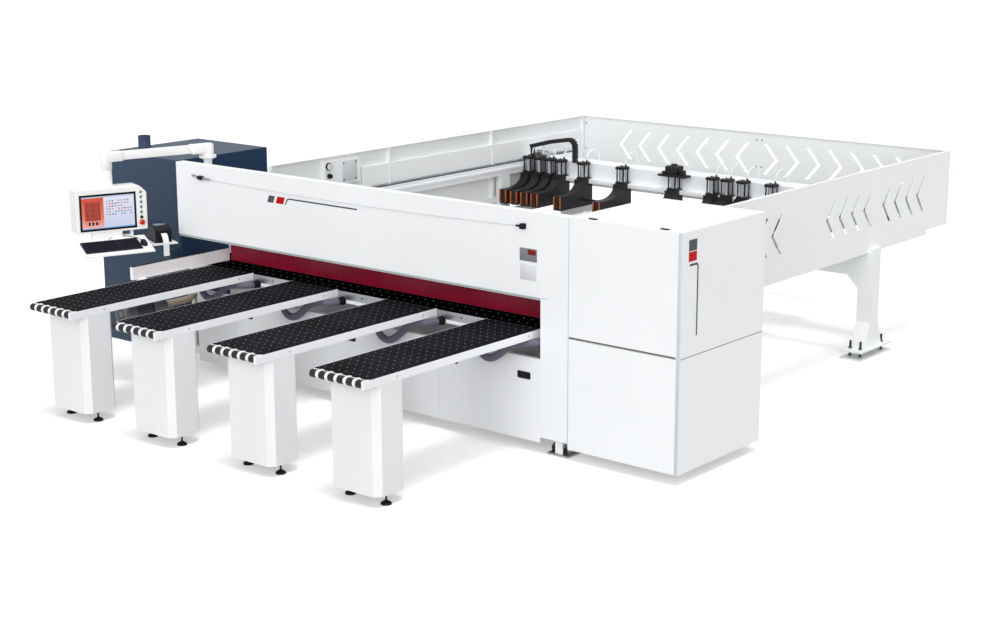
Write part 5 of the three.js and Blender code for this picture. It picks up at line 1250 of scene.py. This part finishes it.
printer_keys = printer_key.repeated([(0, y, 0) for y in (0, 26, 52)])
piece("printer_keys", by_monitor(printer_keys), plastic_grey, "monitor")
STRIP_HALF = 27


def hanging_strip():
    """A ribbon of labels: a path in Y and Z out of the mouth and down, widened along X."""
    path = smooth_path([(0, -150, 1300), (0, -168, 1296), (0, -200, 1262), (0, -214, 1228), (0, -216, 1180),
                        (0, -213, 1130), (0, -214, 1100)], 40, 4)
    run = np.gradient(path, axis=0)
    over = np.stack([0 * run[:, 0], -run[:, 2], run[:, 1]], -1) / np.linalg.norm(run, axis=1, keepdims=True)
    rings = [path + over * thick + (side * STRIP_HALF, 0, 0)
             for thick, side in [(0.3, 1), (0.3, -1), (-0.3, -1), (-0.3, 1)]]
    return lofted(np.stack(rings, 1)).moved(printer_middle)


piece("label_strip", by_monitor(hanging_strip()), label_paper, "monitor")

# %% [markdown]
# The grippers are the machine's hands. Each is a black cast boot whose top sweeps up in a hollow curve to
# a bright air cylinder with a black cap. The curve is a quarter ellipse, which a few straight cuts in the
# solid only hint at, so all eleven are rebuilt and replace the solid.

# %% Gripper boots
TOE_TOP = 1150
NECK_TOP = 1285
TOE_BACK = 4400.3
NECK_FRONT = 4615
BOOT_BACK = 4809.7
sweep = np.linspace(0, math.pi / 2, 14)
sweep_y = TOE_BACK + (NECK_FRONT - TOE_BACK) * np.sin(sweep)
sweep_z = NECK_TOP - 14 - (NECK_TOP - 14 - TOE_TOP) * np.cos(sweep)
boot_side = np.vstack([
    [(4250, 998), (BOOT_BACK, 998), (BOOT_BACK, NECK_TOP)],
    [(NECK_FRONT - 6, NECK_TOP), (NECK_FRONT - 6, NECK_TOP - 12)],
    np.stack([sweep_y, sweep_z], -1)[::-1],
    [(TOE_BACK, 1014), (4250, 1014)]])
boot = plate(boot_side, 0, GRIPPER_WIDTH, 2.0).reordered(2, 0, 1)
gripper_lefts = [(left, 0, 0) for left in GRIPPER_LEFTS]
boots = boot.repeated(gripper_lefts)
middles = np.array(GRIPPER_LEFTS) + GRIPPER_WIDTH / 2
bar_sides = (GRIPPER_LEFTS[0], GRIPPER_LEFTS[-1] + GRIPPER_WIDTH)
bar = rounded_box(bar_sides, (4742, BOOT_BACK - 2), (1235, 1283), 2)
cylinder_places = [(x, CYLINDER_Y, 0) for x in middles]
base_block = rounded_box((-54, 54), (-54, 54), (NECK_TOP - 3, NECK_TOP + 22), 3)
cap_dome = turned([(0, -1), (22, -1), (22, 4), (18, 7), (0, 7)], 24)
cap_fitting = turned([(0, 0), (9, 0), (9, 24), (7, 28), (0, 28)], 16)
cap_box = rounded_box((-55, 55), (-55, 55), (1438 - CAP_TOP, 0), 5, 4)
cap_nuts = hex_nut(8, 8).repeated(corner_places(37, 37, -1))
cap_block = joined([cap_box, cap_dome, cap_nuts, cap_fitting.moved(30, 18)]).moved(z=CAP_TOP)
tool = joined([rounded_box(x, y, z, soft, steps) for x, y, z, soft, steps in [
    ((-165, 165), (-65, 65), (1426, 1448), 3, 3), ((-75, 75), (-65, 65), (1466, 1540), 10, 4),
    ((70, 130), (-30, 30), (1446, 1500), 6, 4), ((-130, -74), (-40, 20), (1446, 1478), 6, 4)]]
    + [turned([(0, 1538), (34, 1538), (34, 1552), (26, 1560), (0, 1560)])])
tool = tool.moved(middles[TOOL_GRIPPER - 1], CYLINDER_Y)


# %% [markdown]
# The cable chain that feeds the pusher runs over the first grippers and bends down at the right. It is a
# row of box links, and one array product turns them all to the path.


# %% Cable chain
CHAIN_PITCH = 27


def chain_links():
    bend = np.linspace(math.pi / 2, 0, 12)
    arc = np.stack([605 + 72 * np.cos(bend), 0 * bend, 1610 + 72 * np.sin(bend)], -1)
    path = smooth_path([(82, 0, 1568), (340, 0, 1636), *arc, (677, 0, 1560), (677, 0, 1452)], 200, 30)
    spots = np.linspace(0, len(path) - 1, int(measured(path) / CHAIN_PITCH)).astype(int)
    run = np.gradient(path, axis=0)[spots]
    run /= np.linalg.norm(run, axis=1, keepdims=True)
    up = np.stack([-run[:, 2], 0 * run[:, 0], run[:, 0]], -1)
    turns = np.stack([run, np.broadcast_to((0.0, 1.0, 0.0), up.shape), up], 1)
    shell = rounded_box((-11.5, 11.5), (-30, 30), (-22, 22), 3)
    tongue = rounded_box((-15, 15), (-27, 27), (-16, 16), 3)
    return (shell + tongue).repeated(path[spots], turns)


chain = chain_links().moved(y=4779)
chain_stand = rounded_box((80, 102), (4749, 4809), (1440, 1570), 3)
cylinder_ends = (base_block + cap_block).repeated(cylinder_places)
gripper_set = joined([boots, cylinder_ends, tool, chain, chain_stand])
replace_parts(piece("gripper_boots", gripper_set, cast_black, "pusher", 32), "gripper_arms")
piece("gripper_bar", bar, white_coat, "pusher")

barrel = cylinder(37, 1300, 1444)
tie_rods = cylinder(7.5, 1300, 1444, 10).repeated(corner_places(40, 40, 0))
piece("cylinder_barrels", barrel.repeated(cylinder_places), chrome, "pusher")
piece("cylinder_rods", tie_rods.repeated(cylinder_places), cast_black, "pusher")
pad = rounded_box((0, 15), (4241, 4250), (1018, 1146), 2)
pads = pad.repeated([(left + inset, 0, 0) for left in GRIPPER_LEFTS for inset in (2, GRIPPER_WIDTH - 17)])
piece("jaw_pads", pads, pad_brown, "jaws")
between_pads = rounded_box((36, 64), (4246, 4251), (1020, 1144), 1.5)
piece("jaw_plates", between_pads.repeated(gripper_lefts), cast_black, "jaws")
valve_box = rounded_box((72, 250), (4830, 4900), (PUSHER_TOP, PUSHER_TOP + 62), 4)
valve_ports = cylinder(10, 0, 20, 14).repeated([(90 + 24 * i, 4862, PUSHER_TOP + 60) for i in range(7)])
piece("valve_island", valve_box + valve_ports, aluminium, "pusher")

# %% [markdown]
# Under the tables at the left hangs the vacuum pump: a finned motor with a fan cowl, a pump head, and a
# sand-coloured flexible duct that climbs into the beam, which shares the air out to the tables. Two arms
# carry it from the front cover.

# %% Vacuum pump
PUMP_X = -200
PUMP_Z = 640
FIN_POINTS = 144
motor_angle = np.linspace(0, 2 * math.pi, FIN_POINTS, endpoint=False)
fin_wave = np.where(np.arange(FIN_POINTS) % 4 < 2, 92, 80)


def motor_ring(radius, y):
    return np.stack([radius * np.cos(motor_angle), y + 0 * motor_angle, radius * np.sin(motor_angle)], -1)


finned = lofted([motor_ring(radius, y) for radius, y in [
    (78, -650), (fin_wave, -648), (fin_wave, -462), (78, -460)]])
cowl = turned([(0, -770), (30, -770), (30, -766), (44, -766), (46, -770), (84, -768), (96, -756), (98, -740),
               (98, -652), (94, -648), (0, -648)], 40).turned_to("y")
spoke = rounded_box((30, 90), (-2.5, 2.5), (-773, -767), 1.5)
spokes = joined([spoke.rotated(angle) for angle in range(0, 360, 20)]).turned_to("y")
head = turned([(0, -460), (104, -460), (108, -452), (108, -330), (98, -318), (52, -312), (44, -262),
               (0, -262)], 40).turned_to("y")
terminal_box = rounded_box((-45, 45), (-600, -510), (84, 128), 6, 4)
pump = joined([finned, cowl, spokes, head, terminal_box]).moved(PUMP_X, 0, PUMP_Z)
piece("pump_motor", pump, motor_grey, "machine")
BEAM_UNDERSIDE = 868
DUCT_BEND = 172
DUCT_RIB_PITCH = 19
duct_turn = np.linspace(0, math.pi / 2, 9)
duct_knots = [(0, -262, 0)] + [
    (0, -16 + DUCT_BEND * math.sin(turn), DUCT_BEND - DUCT_BEND * math.cos(turn)) for turn in duct_turn]
duct_knots = np.array([*duct_knots, (0, 156, BEAM_UNDERSIDE - PUMP_Z)]) + (PUMP_X, 0, PUMP_Z)
duct_path = smooth_path(duct_knots, 200, 12)[::-1]
duct_ribs = 31 + 2.6 * ribbed(duct_path, DUCT_RIB_PITCH)
duct = piece("pump_duct", tube(duct_path, duct_ribs, (1.0, 0.0, 0.0), 24), duct_sand, "machine")
clamp_band = turned([(32, 0), (37, 0), (37, 14), (32, 14)]).turned_to("y").moved(PUMP_X, -268, PUMP_Z)
duct_clamp = piece("pump_duct_clamp", clamp_band, zinc, "machine")
pump_arm = rounded_box((-14, 14), (-650, 1), (520, 552), 3)
pump_plate = rounded_box((PUMP_X - 90, PUMP_X + 90), (-660, -330), (550, 562), 3)
stand = pump_arm.repeated([(PUMP_X + side, 0, 0) for side in (-52, 52)]) + pump_plate
piece("pump_stand", stand, white_coat, "machine")

# %% [markdown]
# The service box on the left guard has a pressure gauge, a grey plate with four screws and the regulator.
# Bolts hold the guards together, and black nuts and studs carry the rear legs and the column's foot.

# %% Guards, gauge and anchor bolts
SERVICE_FACE = -20
GAUGE_PLACE = (1703, 1694)
gauge = turned([(0, 0), (34, 0), (38, 3), (38, 16), (34, 20), (31, 18), (0, 17)], 36).turned_to("x")
piece("gauge_case", gauge.moved(SERVICE_FACE, *GAUGE_PLACE), plastic_black, "machine")
dial = cylinder(31, 0, 1, 36).turned_to("x")
needle = rounded_box((0, 2), (-2, 2), (-6, 24), 0.8)
piece("gauge_dial", dial.moved(SERVICE_FACE + 17.6, *GAUGE_PLACE), label_paper, "machine")
piece("gauge_needle", needle.moved(SERVICE_FACE + 18.4, *GAUGE_PLACE), stop_red, "machine")
service_plate = rounded_box((SERVICE_FACE - 0.4, SERVICE_FACE + 3), (1897, 2104), (1518, 1722), 1.2)
piece("service_plate", service_plate, coated("service_grey", srgb(206, 208, 211), roughness=0.4), "machine")
corner_heads = button_head(9, 5).turned_to("x").repeated(
    [(SERVICE_FACE + 2.8, y, z) for y in (1915, 2086) for z in (1536, 1704)])
rear_heads = button_head(8, 5).turned_to("y").mirrored_y().repeated(
    [(x, 5926, z) for x in (-30, 2260, 2324, 4440) for z in (1120, 1410, 1700)])
piece("guard_screws", corner_heads + rear_heads, plastic_black, "machine")
regulator = turned([(0, 0), (22, 0), (24, 2), (24, 8), (22.6, 10), (24, 12), (24, 30), (21, 35.6),
                    (0, 36)], 24).turned_to("x").moved(-19.7, 1705, 1600)
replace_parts(piece("regulator_grip", regulator, plastic_black, "regulator"), "regulator_knob")

COLUMN_NUTS = [(25, 16, 13), (22, 32, 12), (25, 46, 13), (21, 61, 12)]
LEG_MIDDLES = [(-55, 4375), (4475, 4375)]
bolt_stack = threaded(11.2, 15, 168) + hex_nut(20.5, 16).repeated([(0, 0, 15), (0, 0, 58.8), (0, 0, 90)])
bolt_places = [place for middle in LEG_MIDDLES for place in corner_places(53, 205, 0, middle)]
piece("anchor_bolts", bolt_stack.repeated(bolt_places), cast_black, "machine")
column_bolt = threaded(13.4, 15, 87) + joined(
    [hex_nut(radius, height).moved(z=low) for radius, low, height in COLUMN_NUTS])
piece("column_foot_bolts", column_bolt.repeated([(4054, 70, 0), (4157, 70, 0)]), cast_black, "machine")
column_shoe = rounded_box((4018, 4220), (19, 217), (0.2, 16), 2.5)
piece("column_foot_iron", column_shoe, zinc, "machine")

# %% [markdown]
# Last come the small fittings of the cabinets: pale edge strips, a dark strip of painted shade in the door gap
# and hinges on the saw cabinet, a lock, hinges and louvres on the electrical cabinet, and the sleeve of its
# exhaust spout.

# %% Cabinet fittings
edge_pale = coated("edge_pale", srgb(196, 207, 211), roughness=0.35)
edge_strips = [rounded_box((5229, 5259.6), (-0.9, 0.4), (86, 1919), 0.4),
               rounded_box((4229, 4238), (-0.9, 0.4), (130, 1919), 0.4)]
piece("cabinet_edges", joined(edge_strips), edge_pale, "machine")
# A dark strip in the gap between the doors: painted shade.
door_gap_shade = rounded_box((4241, 5221), (-1.0, 0.6), (979, 990), 0.5)
piece("door_gap_shade", door_gap_shade, moulded("gap_painted_shade", srgb(96, 92, 86), roughness=0.7, specular=0.1), "upper_door")
side_seam = rounded_box((CABINET_RIGHT - 0.4, CABINET_RIGHT + 0.6), (6, 1146), (973, 977), 0.4)
piece("cabinet_seam", side_seam, trim_grey, "machine")
hinge = (rounded_box((-34, 34), (36, 68), (1919, 1925), 2)
         + cylinder(5, -30, 30, 14).turned_to("x").moved(0, 35, 1926))
piece("door_hinges", hinge.repeated([(4425, 0, 0), (5075, 0, 0)]), plastic_black, "machine")
spout_profile = [(60.4, 1850), (62, 1850), (62, 1858), (60.8, 1860), (60.8, 1952), (63, 1954), (63, 1965),
                 (55, 1965.4), (53, 1950), (53, 1852), (53.5, 1850)]
spout_rings = turned(spout_profile, 40).points.reshape(len(spout_profile), 40, 3)
piece("spout_sleeve", lofted(spout_rings, closed=True).moved(-1618, 744), slate_coat, "machine")
DOOR_FRONT = 345.7
lock = turned([(0, -9), (16, -9), (17, -6), (17, 0), (0, 0)], 24).turned_to("y").moved(-716, DOOR_FRONT, 1240)
piece("switchgear_lock", lock, slate_coat, "electrical_door")
door_hinge = cylinder(8, -34, 34, 16)
hinge_places = [(-1684, DOOR_FRONT - 4, z) for z in (1120, 1720)]
piece("switchgear_hinges", door_hinge.repeated(hinge_places), zinc, "electrical_door")
louvre = rounded_box((-1400, -960), (DOOR_FRONT - 5, DOOR_FRONT), (0, 9), 2)
louvres = louvre.repeated([(0, 0, z) for z in range(1080, 1240, 22)])
piece("switchgear_louvres", louvres, slate_coat, "electrical_door")
fence_strip = joined([rounded_box((-39, -1), (-768, 365), (1093.4, 1096.4), 1.2),
                      rounded_box((-25, -15), (-768, 365), (1095.6, 1097.6), 0.8)])
piece("fence_top_strip", fence_strip, plastic_black, "machine")

# %% [markdown]
# Light is plain and soft, as in a white studio. A wide lamp stands almost overhead, so that shadows lie
# just under the machine, and a low one, wider still, lights the front. The floor and the sky are white to
# the camera and in reflections, but darker as sources of light, so that white panels keep their shape.

# %% Floor, sky and lamps
FLOOR_HALF = 160.0
FLOOR_LIFT = 0.36
SKY_LIGHT = 0.52
floor_mesh = bpy.data.meshes.new("floor")
floor_mesh.from_pydata(corner_places(FLOOR_HALF, FLOOR_HALF, -0.001), [], [(0, 2, 3, 1)])
floor = bpy.data.objects.new("floor", floor_mesh)
bpy.context.scene.collection.objects.link(floor)
floor_paint = Finish("floor_paint")
seen = floor_paint.seen_directly()
floor_mesh.materials.append(floor_paint.surface(
    floor_paint.mix(seen, srgb(170, 170, 170), (0.76, 0.76, 0.76, 1.0)), 0.9, Specular_IOR_Level=0.0,
    Emission_Color=floor_paint.mix(seen, (0.0, 0.0, 0.0, 1.0), (FLOOR_LIFT, FLOOR_LIFT, FLOOR_LIFT, 1.0)),
    Emission_Strength=1.0))

world = bpy.data.worlds.new("studio")
bpy.context.scene.world = world
sky = Network(world)
level = sky.node("ShaderNodeMix", sockets={0: sky.seen_directly(), 2: SKY_LIGHT, 3: 1.0})
white_sky = sky.node("ShaderNodeBackground", sockets={"Color": (1.0, 1.0, 1.0, 1.0), "Strength": level})
sky.end("ShaderNodeOutputWorld", white_sky)


def lamp(name, direction, strength, softness):
    """A far lamp that shines along a direction; softness is the angle it fills, in degrees."""
    light = bpy.data.lights.new(name, "SUN")
    light.energy = strength
    light.angle = math.radians(softness)
    made = bpy.data.objects.new(name, light)
    bpy.context.scene.collection.objects.link(made)
    back = -np.array(direction, float) / np.linalg.norm(direction)
    helper = (0.0, 1.0, 0.0) if abs(back[1]) < 0.9 else (1.0, 0.0, 0.0)
    right = np.cross(helper, back)
    right /= np.linalg.norm(right)
    turn = np.eye(4)
    turn[:3, :3] = np.column_stack([right, np.cross(back, right), back])
    made.matrix_world = Matrix(turn.tolist())


lamp("overhead", (-0.20, 0.08, -1.0), 1.34, 16)
lamp("front_fill", (-0.50, 0.86, -0.12), 3.1, 70)
bpy.context.scene.view_settings.view_transform = "Standard"
